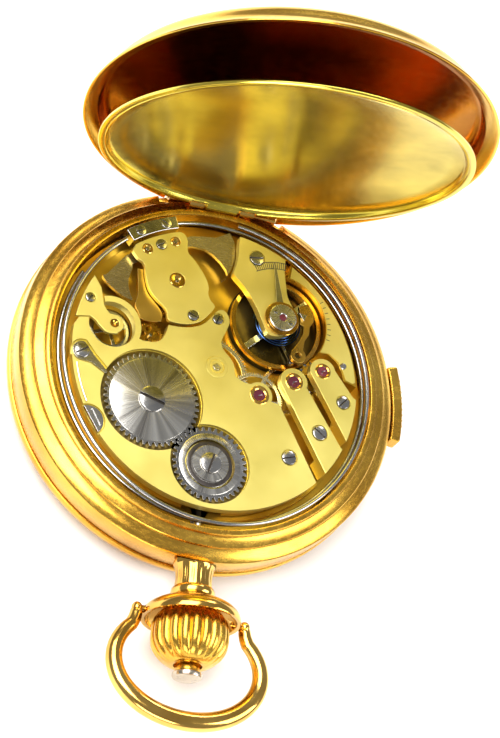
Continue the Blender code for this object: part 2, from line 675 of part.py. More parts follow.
def mainspring_barrel():
    profile = [(0.9, 7.35), (9.0, 7.35), (9.0, 8.5), (8.6, 8.5), (8.6, 7.6), (0.9, 7.6)]
    place("mainspring_barrel", turned(profile, BARREL, 48), BRASS, (*BARREL, 0))
    turns, steps = 3.0, 14
    points = []
    for i in range(int(turns * steps) + 1):
        share = i / (turns * steps)
        x, y = polar(1.1 + 7.2 * share, 360 * turns * share, BARREL)
        points.append((x, y, 8.05))
    place("mainspring", sweep(points, [0.2] * len(points), 4), STEEL, (*BARREL, 0))


def click_work():
    click = place("click", prism(click_outline(), 11.05, 11.5), STEEL, (*CLICK, 0))
    cut(click, bar(polar(1.6, 35, CLICK), polar(1.6, 215, CLICK), 0.25, 11.4, 12.0))
    strip = arc(20.5, 191, 207, 7) + arc(20.25, 207, 191, 7)
    place("click_spring", prism(strip, 11.65, 11.9), STEEL)
    half_moon = arc(2.1, -46, 114, 14, DOG)
    place("dog_screw", prism(half_moon, 11.15, 11.65), STEEL)


# ---- going train ----

def train_wheel(name, centre, radius, level, thickness, spokes, arbor, pinion, finish=BRASS):
    """A spoked wheel on an arbor with a pinion; arbor and pinion are (radius, low, high)."""
    low, high = level, level + thickness
    rim, hub = radius * 0.82, max(0.9, radius * 0.2)
    wheel = place(name, prism(circle(radius, centre, 30), low, high), finish, (*centre, 0))
    windows = bmesh.new()
    half = math.degrees(0.32 / hub)
    for i in range(spokes):
        start = 360 * i / spokes
        end = start + 360 / spokes
        thin = math.degrees(0.32 / rim)
        outline = arc(rim, start + thin, end - thin, 5, centre) + arc(hub, end - half, start + half, 3, centre)
        prism(outline, low - 1, high + 1, windows)
    cut(wheel, windows)
    steps = [(0, arbor[1]), (arbor[0], arbor[1])]
    steps += [(arbor[0], pinion[1]), (pinion[0], pinion[1]), (pinion[0], pinion[2]), (arbor[0], pinion[2])]
    steps += [(arbor[0], arbor[2]), (0, arbor[2])]
    join(wheel, turned(steps, centre, 10))


def going_train():
    train_wheel("centre_wheel", CENTRE, 5.4, 9.0, 0.25, 5, (0.35, 4.0, 10.2), (0.7, 7.0, 8.9))
    train_wheel("third_wheel", THIRD, 4.0, 9.9, 0.2, 5, (0.25, 8.45, 10.25), (0.75, 8.85, 9.6))
    train_wheel("fourth_wheel", FOURTH, 3.6, 8.45, 0.15, 4, (0.2, 4.5, 10.2), (0.6, 8.7, 10.1))
    train_wheel("escape_wheel", ESCAPE, 2.6, 8.75, 0.2, 4, (0.2, 8.4, 10.2), (0.45, 9.0, 9.8), STEEL)


def pallet_fork():
    low, high = 8.78, 8.95
    pivot, wheel, balance = Vector(PALLET), Vector(ESCAPE), Vector(BALANCE)
    inward = (pivot - wheel).normalized()
    across = Vector((-inward.y, inward.x))
    fork = place("pallet_fork", pin(0.45, low, high, PALLET, 14), STEEL, (*PALLET, 0))
    for side in (1, -1):
        angle = math.radians(38)
        stone = wheel + (inward * math.cos(angle) + across * math.sin(angle) * side) * 3.15
        join(fork, bar(pivot, stone, 0.4, low, high))
        join(fork, pin(0.28, low, high, stone, 8))
    towards = (balance - pivot).normalized()
    end = pivot + towards * ((balance - pivot).length - 1.9)
    join(fork, bar(pivot, end, 0.35, low, high))
    join(fork, pin(0.4, low, high, end, 8))
    join(fork, pin(0.2, 8.42, 9.05, PALLET, 10))


def balance():
    low, high = 9.1, 9.8
    rim = [(6.1, low), (6.75, low), (6.75, high), (6.1, high)]
    wheel = place("balance_wheel", turned(rim, BALANCE, 48), GILT, (*BALANCE, 0))
    join(wheel, bar(polar(6.4, 45, BALANCE), polar(6.4, 225, BALANCE), 0.9, low + 0.2, high - 0.15))
    staff = [(0, 8.45), (0.35, 8.45), (0.35, 9.15), (0.7, 9.15), (0.7, 10.2), (0.3, 10.2), (0.3, 10.3), (0, 10.3)]
    join(wheel, turned(staff, BALANCE, 14))
    turns, steps = 5, 14
    points = []
    for i in range(turns * steps + 1):
        share = i / (turns * steps)
        x, y = polar(0.95 + 2.65 * share, 360 * turns * share, BALANCE)
        points.append((x, y, 10.08))
    place("hairspring", sweep(points, [0.09] * len(points), 4), BLUE)


def regulator():
    low, high = 11.75, 12.0
    ring = [(0.75, low), (2.55, low), (2.55, high), (0.75, high)]
    piece = place("regulator", turned(ring, BALANCE, 32), BRASS, (*BALANCE, 0))
    base, tip = polar(2.4, 100.7, BALANCE), polar(8.6, 100.7, BALANCE)
    side = Vector(polar(1, 10.7))
    corners = [Vector(base) + side * 0.5, Vector(tip) + side * 0.15, Vector(tip) - side * 0.15, Vector(base) - side * 0.5]
    join(piece, prism([tuple(c) for c in corners], low, high))
    cap = [(0, 11.65), (0.5, 11.65), (0.5, 12.08), (2.0, 12.08), (2.0, 12.3), (1.8, 12.4), (0, 12.4)]
    place("endstone_cap", turned(cap, BALANCE, 28), STEEL)


# ---- repeating work ----

def hammers():
    low, high = 9.65, 10.2
    left = [(-12.8, 12.8), (-13.2, 11.3), (-13.2, 10.0), (-12.7, 8.6), (-12.3, 7.9), (-13.5, 8.1), (-15.0, 8.9)]
    left += [(-16.3, 9.8), (-17.1, 10.7), (-16.4, 11.0), (-15.8, 11.9), (-14.9, 13.1), (-14.1, 14.3), (-13.2, 15.1)]
    hour = place("hour_hammer", prism(left, low, high), STEEL, (*HOUR_HAMMER, 0))
    join(hour, bar((-13.3, 14.0), HOUR_HAMMER, 1.5, low, high))
    join(hour, pin(1.1, low, high, HOUR_HAMMER, 18))
    right = [(-4.8, 19.75), (-2.9, 20.2), (-0.9, 20.5), (1.1, 21.75), (1.85, 20.5), (2.15, 19.0), (2.05, 17.5)]
    right += [(1.65, 16.0), (0.9, 14.4), (0.35, 13.9), (1.0, 14.6), (1.2, 15.2), (0.9, 15.9), (0.1, 16.8)]
    right += [(-1.2, 17.8), (-2.4, 18.3), (-4.6, 18.3)]
    quarter = place("quarter_hammer", prism(right, low, high), STEEL, (*QUARTER_HAMMER, 0))
    join(quarter, bar((-4.5, 19.0), QUARTER_HAMMER, 1.4, low, high))
    join(quarter, pin(1.1, low, high, QUARTER_HAMMER, 18))


def gong(name, start, end, z, radius_at):
    """A round steel wire bent round the movement, from start to end degrees."""
    count = 42
    points = []
    for i in range(count):
        angle = start + (end - start) * i / (count - 1)
        x, y = polar(radius_at(angle), angle)
        points.append((x, y, z))
    place(name, sweep(points, [0.3] * count, 5), STEEL)


def gongs():
    block = arc(22.95, 109, 129, 7) + arc(21.1, 129, 109, 7)
    place("gong_block", prism(block, 9.3, 11.5), STEEL)

    def widening(angle):
        share = min(1.0, max(0.0, (angle - 205) / 95))
        return 21.9 + 0.85 * share * share * (3 - 2 * share)

    gong("hour_gong", 130.5, 445.0, 11.0, widening)
    gong("quarter_gong", 107.5, -208.0, 10.1, lambda angle: 22.4)


def repeater_works():
    drum = [(0, 8.65), (4.5, 8.65), (4.5, 9.5), (0.5, 9.5), (0.5, 10.7), (0, 10.7)]
    place("repeater_barrel", turned(drum, REPEATER, 36), BRASS, (*REPEATER, 0))
    rim = [(2.3, 9.4), (3.0, 9.4), (3.0, 9.8), (2.3, 9.8)]
    fly = place("governor_fly", turned(rim, GOVERNOR, 32), STEEL, (*GOVERNOR, 0))
    join(fly, bar(polar(2.6, 20, GOVERNOR), polar(2.6, 200, GOVERNOR), 0.7, 9.45, 9.75))
    join(fly, pin(0.3, 8.5, 10.9, GOVERNOR, 12))


def finish_objects():
    """Scales everything from millimetres to metres and smooths the round surfaces."""
    for thing in bpy.context.scene.objects:
        if thing.type == "MESH":
            thing.data.transform(Matrix.Scale(MM, 4))
            thing.location = thing.location * MM
            thing.data.shade_smooth()
            thing.data.set_sharp_from_angle(angle=math.radians(35))


def main():
    for thing in list(bpy.data.objects):
        bpy.data.objects.remove(thing)
    case_band()
    cover_lift_spring()
    pendant()
    bow()
    winding_crown()
    crown_button()
    winding_stem()
    front_cover()
    front_bezel()
    crystal()
    back_cover()
    cuvette()
    hinge_pins()
    repeater_slide()
    dial()
    hand("hour_hand", CENTRE, 12.0, 0, 1.0, 4.35, 4.5, 1.05)
    hand("minute_hand", CENTRE, 18.5, 0, 0.8, 3.9, 4.05, 0.7)
    hand("seconds_hand", FOURTH, 4.0, 1.8, 0.3, 4.65, 4.8, 0.3)
    motion_work()
    repeater_rack()
    main_plate()
    barrel_bridge()
    finger_bridge("fourth_wheel_bridge", FOURTH, 2.05, (205, -15), (18.9, -8.0), (-23.2, -36.3))
    finger_bridge("escape_wheel_bridge", ESCAPE, 1.9, (200, 15), (20.4, -0.1), (-0.9, -19.3))
    balance_cock()
    stud_arm()
    repeater_bridges()
    governor_cock()
    winding_wheels()
    mainspring_barrel()
    click_work()
    going_train()
    pallet_fork()
    balance()
    regulator()
    hammers()
    gongs()
    repeater_works()
    finish_objects()


main()
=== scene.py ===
"""Gold hunter pocket watch, open at the back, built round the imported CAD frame.

Shapes are drawn in millimetres, with +Z out of the back of the watch and the crown at -Y.
"""
import json
import math

import bmesh
import bpy
from mathutils import Matrix, Vector


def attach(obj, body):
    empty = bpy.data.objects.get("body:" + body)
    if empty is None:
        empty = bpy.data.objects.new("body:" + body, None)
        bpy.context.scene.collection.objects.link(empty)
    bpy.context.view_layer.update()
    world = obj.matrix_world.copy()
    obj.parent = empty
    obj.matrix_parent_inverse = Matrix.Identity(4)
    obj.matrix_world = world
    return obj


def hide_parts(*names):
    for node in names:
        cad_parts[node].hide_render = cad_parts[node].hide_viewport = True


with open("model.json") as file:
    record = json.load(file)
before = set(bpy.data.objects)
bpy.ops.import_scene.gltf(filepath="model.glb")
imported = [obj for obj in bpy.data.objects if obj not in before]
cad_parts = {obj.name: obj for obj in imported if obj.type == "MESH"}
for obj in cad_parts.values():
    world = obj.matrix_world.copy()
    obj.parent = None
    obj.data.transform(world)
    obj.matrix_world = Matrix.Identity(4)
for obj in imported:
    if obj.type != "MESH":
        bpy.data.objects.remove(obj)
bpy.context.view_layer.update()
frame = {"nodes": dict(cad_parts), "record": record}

MM = 0.001
# A point on each cover's hinge, and how far the two back covers stand open, in degrees.
BACK_HINGE = (0.0, 25.9, 9.0)
CUVETTE_HINGE = (0.0, 24.6, 11.5)
FRONT_HINGE = (0.0, 26.7, 4.65)
BACK_OPEN, CUVETTE_OPEN, CUVETTE_TURN = 89.2, 81.5, 2.0
PENDANT_Z = 8.1
BOW_Y = -35.5
# Levels and radius of the bridges, the floor of their recesses, and where cutters end.
BRIDGE_TOP = 11.6
BRIDGE_LOW = 10.3
BRIDGE_R = 20.9
RECESS = 10.95
FOOT = 8.65
ABOVE = 13

# Centres in plan.
BARREL = (-8.95, -6.85)
CROWN_WHEEL = (0.0, -14.5)
THIRD = (6.5, -2.8)
FOURTH = (11.5, 0.35)
ESCAPE = (15.7, 2.9)
BALANCE = (9.05, 9.4)
REPEATER = (-6.6, 11.8)
GOVERNOR = (-15.2, 3.0)
CLICK = (-19.3, -1.8)
DOG = (-17.6, -11.8)
HOUR_POST = (-11.25, 15.6)
QUARTER_POST = (-7.3, 17.7)
STRIKING_WHEEL = (-9.5, 3.2)

# The camera, in metres: its place, its right, up and back directions, and its lens in mm.
CAMERA_PLACE = (-0.121672, -0.172264, 0.355170)
CAMERA_AXES = (0.92742, 0.05601, 0.36980), (-0.20555, 0.90235, 0.37882), (-0.31247, -0.42734, 0.84838)
LENS, SENSOR = 143.33, 36.0
FLOOR_HALF, FLOOR_DROP = 1.5, 0.00005
SKY_COLOUR, SKY_STRENGTH = (0.95, 0.97, 1.0, 1), 0.33
# Name, place, target, width, height and watts of each soft lamp.
LAMPS = (
    ("key", (-0.35, 0.05, 0.75), (0.0, 0.0, 0.0), 0.9, 0.6, 12.5),
    ("fill", (0.55, -0.25, 0.45), (0.0, 0.0, 0.02), 0.4, 0.4, 3.0),
    ("back", (0.1, 0.75, 0.5), (0.0, 0.0, 0.02), 0.8, 0.25, 4.0),
    ("front", (-0.1, -0.8, 0.25), (0.0, 0.0, 0.02), 0.5, 0.18, 2.0),
)


# ---- materials ----

class Nodes:
    """A small helper round one material's node tree."""

    def __init__(self, name, base, rough, metallic=1.0):
        self.material = bpy.data.materials.new(name)
        self.material.use_nodes = True
        self.tree = self.material.node_tree
        self.shader = self.tree.nodes["Principled BSDF"]
        self.set("Base Color", (*base, 1.0))
        self.set("Roughness", rough)
        self.set("Metallic", metallic)
        self.coords = self.add("TexCoord").outputs["Object"]

    def set(self, socket, value):
        self.shader.inputs[socket].default_value = value

    def add(self, kind, **values):
        node = self.tree.nodes.new("ShaderNode" + kind)
        for key, value in values.items():
            setattr(node, key, value)
        return node

    def link(self, source, target):
        self.tree.links.new(source, target)

    def mapped(self, scale=(1, 1, 1), turn=0.0):
        node = self.add("Mapping")
        node.inputs["Scale"].default_value = scale
        node.inputs["Rotation"].default_value = (0, 0, math.radians(turn))
        self.link(self.coords, node.inputs["Vector"])
        return node.outputs["Vector"]

    def around(self, centre):
        """A direction away from a centre line, the same all the way along each radius."""
        shift = self.add("VectorMath", operation="SUBTRACT")
        shift.inputs[1].default_value = (centre[0] * MM, centre[1] * MM, 0)
        self.link(self.coords, shift.inputs[0])
        flat = self.add("VectorMath", operation="MULTIPLY")
        flat.inputs[1].default_value = (1, 1, 0)
        self.link(shift.outputs[0], flat.inputs[0])
        unit = self.add("VectorMath", operation="NORMALIZE")
        self.link(flat.outputs[0], unit.inputs[0])
        return unit.outputs[0], flat.outputs[0]

    def noise(self, vector, scale, detail=3.0, rough=0.5):
        node = self.add("TexNoise")
        node.inputs["Scale"].default_value = scale
        node.inputs["Detail"].default_value = detail
        node.inputs["Roughness"].default_value = rough
        self.link(vector, node.inputs["Vector"])
        return node.outputs["Fac"]

    def ramp(self, value, low, high, start=0.3, end=0.7):
        node = self.add("MapRange")
        for socket, limit in (("From Min", start), ("From Max", end), ("To Min", low), ("To Max", high)):
            node.inputs[socket].default_value = limit
        self.link(value, node.inputs["Value"])
        return node.outputs["Result"]

    def colour(self, value, dark, light, start=0.3, end=0.7):
        node = self.add("ValToRGB")
        for stop, position, shade in zip(node.color_ramp.elements, (start, end), (dark, light)):
            stop.position = position
            stop.color = (*shade, 1)
        self.link(value, node.inputs["Fac"])
        self.link(node.outputs["Color"], self.shader.inputs["Base Color"])

    def roughness(self, value, low, high):
        self.link(self.ramp(value, low, high), self.shader.inputs["Roughness"])

    def bump(self, value, strength, depth=0.02, under=None):
        node = self.add("Bump")
        node.inputs["Strength"].default_value = strength
        node.inputs["Distance"].default_value = depth * MM
        self.link(value, node.inputs["Height"])
        if under is not None:
            self.link(under, node.inputs["Normal"])
        self.link(node.outputs["Normal"], self.shader.inputs["Normal"])
        return node.outputs["Normal"]


def polished(name, dark, light, rough=(0.08, 0.2), streak=(1, 1, 1), turn=0.0, scratch=0.12):
    """Polished metal with faint hairlines, handling wear and slow changes of colour."""
    m = Nodes(name, light, rough[0])
    slow = m.noise(m.mapped(), 90, 4)
    fine = m.noise(m.mapped(streak, turn), 900, 5, 0.65)
    m.colour(slow, dark, light, 0.35, 0.68)
    m.roughness(fine, *rough)
    first = m.bump(fine, scratch, 0.012)
    m.bump(slow, 0.08, 0.08, first)
    return m.material


def frosted(name, dark, light, rough=(0.24, 0.42), grain=7000):
    """Gilding: a very fine even grain with a few worn, smoother patches."""
    m = Nodes(name, light, rough[0])
    slow = m.noise(m.mapped(), 130, 3)
    fine = m.noise(m.mapped(), grain, 2, 0.7)
    m.colour(slow, dark, light, 0.3, 0.7)
    m.roughness(slow, *rough)
    m.bump(fine, 0.22, 0.012)
    return m.material


def sunburst(name, centre, dark, light, rough=(0.2, 0.29), rings=False):
    """Metal brushed outwards from a centre, or in rings round it."""
    m = Nodes(name, light, rough[0])
    unit, flat = m.around(centre)
    if rings:
        length = m.add("VectorMath", operation="LENGTH")
        m.link(flat, length.inputs[0])
        grain = m.noise(length.outputs["Value"], 9000, 2, 0.6)
    else:
        grain = m.noise(unit, 26, 2, 0.5)
    broad = m.noise(unit, 2.2, 2)
    m.colour(broad, dark, light, 0.36, 0.62)
    m.roughness(grain, *rough)
    m.bump(grain, 0.06, 0.02)
    return m.material


def jewel(name, base):
    m = Nodes(name, base, 0.06, 0.0)
    m.set("IOR", 1.76)
    m.set("Specular IOR Level", 0.35)
    cloud = m.noise(m.mapped(), 600, 2)
    m.colour(cloud, tuple(c * 0.6 for c in base), base)
    m.bump(cloud, 0.03, 0.02)
    return m.material


GOLD = polished("case_gold", (0.56, 0.28, 0.03), (0.86, 0.52, 0.08), (0.18, 0.32), (1, 1, 6), 0, 0.22)
GOLD_BRIGHT = polished("pale_gold", (0.60, 0.32, 0.055), (0.86, 0.55, 0.14), (0.1, 0.2))
LID_GOLD = polished("lid_gold", (0.70, 0.38, 0.045), (0.92, 0.60, 0.11), (0.12, 0.26), (1, 14, 14), 0, 0.25)
INNER_GOLD = polished("inner_lid_gold", (0.50, 0.38, 0.04), (0.92, 0.73, 0.12), (0.1, 0.24), (1, 12, 12),
                      0, 0.3)
# A darker, redder copy of the gold for the inside of the back lid: painted shade.
BOWL_GOLD_PAINTED_SHADE = polished("bowl_gold_painted_shade", (0.42, 0.13, 0.012), (0.62, 0.26, 0.035), (0.08, 0.17))
GILT = frosted("gilding", (0.84, 0.70, 0.17), (0.91, 0.78, 0.23), (0.42, 0.5))
# A darker copy of the gilding: painted shade on the bridge feet and the strip under the bridges; the stud arm
# takes it too.
GILT_DARK_SHADE = frosted("darker_gilding_painted_shade", (0.46, 0.27, 0.045), (0.66, 0.43, 0.09))
PLATE_GILT = frosted("shaded_gilding", (0.60, 0.34, 0.03), (0.84, 0.54, 0.06))
# Near-black gilding: painted shade in the balance well and on the floors of the wheel recesses.
WELL_PAINTED_SHADE = frosted("well_painted_shade", (0.07, 0.05, 0.015), (0.20, 0.14, 0.04))
WHEEL_GILT = sunburst("wheel_gilding", (0, 0), (0.74, 0.69, 0.52), (0.94, 0.90, 0.76), rings=True)
BRASS = sunburst("turned_brass", (0, 0), (0.50, 0.31, 0.07), (0.72, 0.50, 0.15), rings=True)
STEEL = polished("polished_steel", (0.30, 0.29, 0.28), (0.62, 0.60, 0.57), (0.12, 0.26), (1, 8, 1), 30, 0.15)
PALE_STEEL = polished("pale_steel", (0.60, 0.58, 0.54), (0.84, 0.82, 0.77), (0.14, 0.24))
HAMMER_STEEL = polished("hammer_steel", (0.46, 0.38, 0.28), (0.66, 0.57, 0.45), (0.2, 0.3), (1, 10, 1),
                        -35, 0.1)
BLUED = polished("blued_steel", (0.03, 0.07, 0.20), (0.10, 0.20, 0.46), (0.12, 0.22))
# Near-black steel: painted shade in the screw slots and round the transmission core.
STEEL_PAINTED_SHADE = polished("steel_painted_shade", (0.05, 0.045, 0.04), (0.13, 0.11, 0.10), (0.3, 0.5))
RATCHET_STEEL = sunburst("ratchet_steel", BARREL, (0.30, 0.28, 0.25), (0.80, 0.77, 0.70))
CROWN_STEEL = sunburst("crown_wheel_steel", CROWN_WHEEL, (0.36, 0.34, 0.31), (0.78, 0.75, 0.68))
CAP_STEEL = sunburst("cap_steel", BALANCE, (0.5, 0.49, 0.46), (0.78, 0.76, 0.72))
GARNET = jewel("garnet", (0.11, 0.015, 0.03))
PINK = jewel("pink_garnet", (0.17, 0.03, 0.045))
ENAMEL = frosted("enamel", (0.90, 0.89, 0.84), (0.95, 0.94, 0.90), (0.08, 0.12), 400)
INK = polished("dial_ink", (0.01, 0.01, 0.01), (0.03, 0.03, 0.03), (0.3, 0.4))
for paint in (ENAMEL, INK):
    paint.node_tree.nodes["Principled BSDF"].inputs["Metallic"].default_value = 0.0


def glass_material():
    m = Nodes("crystal_glass", (1, 1, 1), 0.02, 0.0)
    m.set("Transmission Weight", 1.0)
    m.set("IOR", 1.5)
    smear = m.noise(m.mapped(), 200, 3)
    m.colour(smear, (0.96, 0.98, 0.98), (1, 1, 1))
    m.roughness(smear, 0.01, 0.04)
    return m.material


GLASS = glass_material()
SLOT_MATERIALS = {
    "gold": (GOLD, GOLD_BRIGHT, LID_GOLD, INNER_GOLD, BOWL_GOLD_PAINTED_SHADE),
    "gilt_brass": (GILT, GILT_DARK_SHADE, PLATE_GILT, WELL_PAINTED_SHADE, GARNET, PINK),
    "brass": (BRASS, WHEEL_GILT),
    "polished_steel": (STEEL, PALE_STEEL, HAMMER_STEEL, STEEL_PAINTED_SHADE, RATCHET_STEEL, CROWN_STEEL, CAP_STEEL,
                       INK),
    "blued_steel": (BLUED,),
    "enamel": (ENAMEL,),
    "glass": (GLASS,),
}
SLOT_OF = {material.name: slot for slot, materials in SLOT_MATERIALS.items() for material in materials}


# ---- shapes, mm ----

def polar(radius, degrees, centre=(0.0, 0.0)):
    angle = math.radians(degrees)
    return (centre[0] + radius * math.cos(angle), centre[1] + radius * math.sin(angle))


def arc(radius, start, end, count, centre=(0.0, 0.0)):
    return [polar(radius, start + (end - start) * i / (count - 1), centre) for i in range(count)]


def area(outline):
    return sum(a[0] * b[1] - b[0] * a[1] for a, b in zip(outline, outline[1:] + outline[:1]))


def grown(outline, amount):
    """The outline moved outwards by amount."""
    side = 1 if area(outline) > 0 else -1
    result = []
    for before, here, after in zip(outline[-1:] + outline[:-1], outline, outline[1:] + outline[:1]):
        a = (Vector(here) - Vector(before)).normalized()
        b = (Vector(after) - Vector(here)).normalized()
        normal = Vector((a.y + b.y, -a.x - b.x)) * side
        if normal.length < 0.2:
            normal = Vector((a.y, -a.x)) * side
        normal.normalize()
        stretch = amount / max(0.5, normal.dot(Vector((a.y, -a.x)) * side))
        result.append((here[0] + normal.x * stretch, here[1] + normal.y * stretch))
    return result


def soft(points):
    """Rounds an open line of points by cutting its corners."""
    result = [points[0]]
    for a, b in zip(points, points[1:]):
        result.append((a[0] * 0.75 + b[0] * 0.25, a[1] * 0.75 + b[1] * 0.25))
        result.append((a[0] * 0.25 + b[0] * 0.75, a[1] * 0.25 + b[1] * 0.75))
    return result + [points[-1]]


def prism(outline, low, high):
    bm = bmesh.new()
    if area(outline) < 0:
        outline = outline[::-1]
    bottom = [bm.verts.new((x, y, low)) for x, y in outline]
    top = [bm.verts.new((x, y, high)) for x, y in outline]
    bm.faces.new(bottom[::-1])
    bm.faces.new(top)
    for i in range(len(outline)):
        j = (i + 1) % len(outline)
        bm.faces.new((bottom[i], bottom[j], top[j], top[i]))
    return bm


def box(x, y, z):
    return prism([(x[0], y[0]), (x[1], y[0]), (x[1], y[1]), (x[0], y[1])], z[0], z[1])


def bar(start, end, width, low, high):
    along = (Vector(end) - Vector(start)).normalized() * width / 2
    side = Vector((-along.y, along.x))
    a, b = Vector(start), Vector(end)
    return prism([tuple(c) for c in (a - side, b - side, b + side, a + side)], low, high)


def turned(profile, centre=(0.0, 0.0), count=64, radius_of=None):
    """A closed (radius, z) profile turned about a vertical axis; radius 0 closes on the axis."""
    bm = bmesh.new()
    rings = []
    for radius, z in profile:
        if radius == 0:
            rings.append(z)
            continue
        ring = []
        for i in range(count):
            r = radius_of(radius, i, z) if radius_of else radius
            ring.append(bm.verts.new((*polar(r, 360 * i / count, centre), z)))
        rings.append(ring)
    for a, b in zip(rings, rings[1:] + rings[:1]):
        lists = isinstance(a, list) + isinstance(b, list)
        if lists == 0:
            continue
        if lists == 2:
            for i in range(count):
                j = (i + 1) % count
                bm.faces.new((a[i], a[j], b[j], b[i]))
            continue
        ring, z = (a, b) if isinstance(a, list) else (b, a)
        if abs(ring[0].co.z - z) < 1e-6:
            bm.faces.new(ring)
            continue
        tip = bm.verts.new((*centre, z))
        for i in range(count):
            bm.faces.new((ring[i], ring[(i + 1) % count], tip))
    bmesh.ops.recalc_face_normals(bm, faces=bm.faces)
    return bm


def pin(radius, low, high, centre=(0.0, 0.0), count=40):
    return turned([(0, low), (radius, low), (radius, high), (0, high)], centre, count)


def sweep(points, radii, sides):
    """A round wire along points."""
    bm = bmesh.new()
    rings = []
    for i, point in enumerate(points):
        before, after = Vector(points[max(i - 1, 0)]), Vector(points[min(i + 1, len(points) - 1)])
        side = (after - before).normalized().cross(Vector((0, 0, 1))).normalized()
        ring = []
        for k in range(sides):
            angle = 2 * math.pi * k / sides
            offset = side * math.cos(angle) + Vector((0, 0, 1)) * math.sin(angle)
            ring.append(bm.verts.new(Vector(point) + offset * radii[i]))
        rings.append(ring)
    for a, b in zip(rings, rings[1:]):
        for k in range(sides):
            n = (k + 1) % sides
            bm.faces.new((a[k], a[n], b[n], b[k]))
    bm.faces.new(rings[0])
    bm.faces.new(rings[-1])
    bmesh.ops.recalc_face_normals(bm, faces=bm.faces)
    return bm


def moved(bm, matrix):
    bmesh.ops.transform(bm, matrix=matrix, verts=bm.verts)
    return bm


def turn_about(axis, degrees):
    return Matrix.Rotation(math.radians(degrees), 4, axis)


def along_y(bm):
    """Lays a turned shape along the axis of the pendant."""
    return moved(bm, Matrix.Translation((0, 0, PENDANT_Z)) @ turn_about("X", 90))


def rod(radius, low, high, hinge):
    """A pin along x, through a hinge's point."""
    place = Matrix.Translation((0, hinge[1], hinge[2]))
    return moved(pin(radius, low, high, count=32), place @ turn_about("Y", 90))


def together(shapes):
    bm = bmesh.new()
    for shape in shapes:
        mesh = bpy.data.meshes.new("shape")
        shape.to_mesh(mesh)
        shape.free()
        bm.from_mesh(mesh)
        bpy.data.meshes.remove(mesh)
    return bm


def added(name, data):
    thing = bpy.data.objects.new(name, data)
    bpy.context.scene.collection.objects.link(thing)
    return thing


def solid(name, bm):
    mesh = bpy.data.meshes.new(name)
    bm.to_mesh(mesh)
    bm.free()
    return added(name, mesh)


def combine(thing, bm, operation):
    tool = solid("tool", bm)
    modifier = thing.modifiers.new("combine", "BOOLEAN")
    modifier.operation = operation
    modifier.solver = "EXACT"
    modifier.object = tool
    bpy.context.view_layer.update()
    seen = thing.evaluated_get(bpy.context.evaluated_depsgraph_get())
    mesh = bpy.data.meshes.new_from_object(seen)
    thing.modifiers.clear()
    thing.data = mesh
    bpy.data.objects.remove(tool)


def cut(thing, *shapes):
    combine(thing, together(shapes), "DIFFERENCE")


def join(thing, bm):
    combine(thing, bm, "UNION")


def piece(thing, material, stands_for=(), body="case", slot=None, bevel=0.0, angle=32, name=None, segments=2):
    """Finishes a shape drawn in millimetres: metres, material, smoothing, bevel, and its CAD body.

    The slot, given or else its material's, is worked out but not used.
    """
    if not isinstance(thing, bpy.types.Object):
        thing = solid(name, thing)
    mesh = thing.data
    mesh.transform(Matrix.Scale(MM, 4))
    mesh.materials.clear()
    mesh.materials.append(material)
    mesh.shade_smooth()
    mesh.set_sharp_from_angle(angle=math.radians(angle))
    if bevel:
        modifier = thing.modifiers.new("edge", "BEVEL")
        modifier.width = bevel * MM
        modifier.segments = segments
        modifier.limit_method = "ANGLE"
        modifier.angle_limit = math.radians(angle)
        modifier.harden_normals = True
    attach(thing, body)
    slot = slot or SLOT_OF[material.name]
    if stands_for:
        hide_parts(*stands_for)
    return thing


def screw(name, centre, top, radius, slot_angle, body="case", depth=0.5):
    """A slotted screw with a rounded edge to its polished head."""
    edge = radius * 0.12
    profile = [(0, top - depth), (radius, top - depth), (radius, top - edge),
               (radius - edge * 0.3, top - edge * 0.3), (radius - edge, top), (0, top)]
    head = solid(name, turned(profile, centre, 40))
    floor = top - min(depth * 0.6, 0.25)
    ends = [polar(radius * 1.3, slot_angle + turn, centre) for turn in (0, 180)]
    cut(head, bar(*ends, radius * 0.22, floor, top + 1))
    # A near-black bar at the floor of the slot: painted shade.
    ends = [polar(radius * 0.97, slot_angle + turn, centre) for turn in (0, 180)]
    piece(bar(*ends, radius * 0.21, floor - 0.02, floor + 0.015), STEEL_PAINTED_SHADE, body=body, name=name + "_slot")
    return piece(head, STEEL, body=body, bevel=0.02)


def jewel_setting(name, centre, hole, ring, material=GARNET):
    """A jewel with a dished face in its raised gold chaton, with its pivot."""
    top = BRIDGE_TOP
    chaton = [(hole, top - 0.3), (ring, top - 0.3), (ring, top + 0.04), (ring - 0.08, top + 0.09),
              (hole + 0.16, top + 0.09), (hole, top - 0.02)]
    piece(turned(chaton, centre, 56), GOLD_BRIGHT, name=name + "_chaton")
    stone = [(0, top - 0.32), (hole, top - 0.32), (hole, top - 0.03), (hole * 0.8, top + 0.01),
             (hole * 0.45, top - 0.04), (0.12, top - 0.16), (0, top - 0.16)]
    piece(turned(stone, centre, 48), material, name=name + "_jewel")
    piece(pin(0.11, top - 0.2, top - 0.1, centre, 16), STEEL, name=name + "_pivot")


def opening(lid_hinge, degrees, turn=0.0):
    h = Vector(lid_hinge)
    swing = Matrix.Translation(h) @ turn_about("X", -degrees) @ Matrix.Translation(-h)
    return turn_about("Z", turn) @ swing


def hang(lid, hinge, clear, near, far, tube, half):
    """Clears a lid round the case's two knuckles and gives it its own between them."""
    cut(lid, rod(clear, -far, -near, hinge), rod(clear, near, far, hinge))
    join(lid, rod(tube, -half, half, hinge))


# ---- case ----

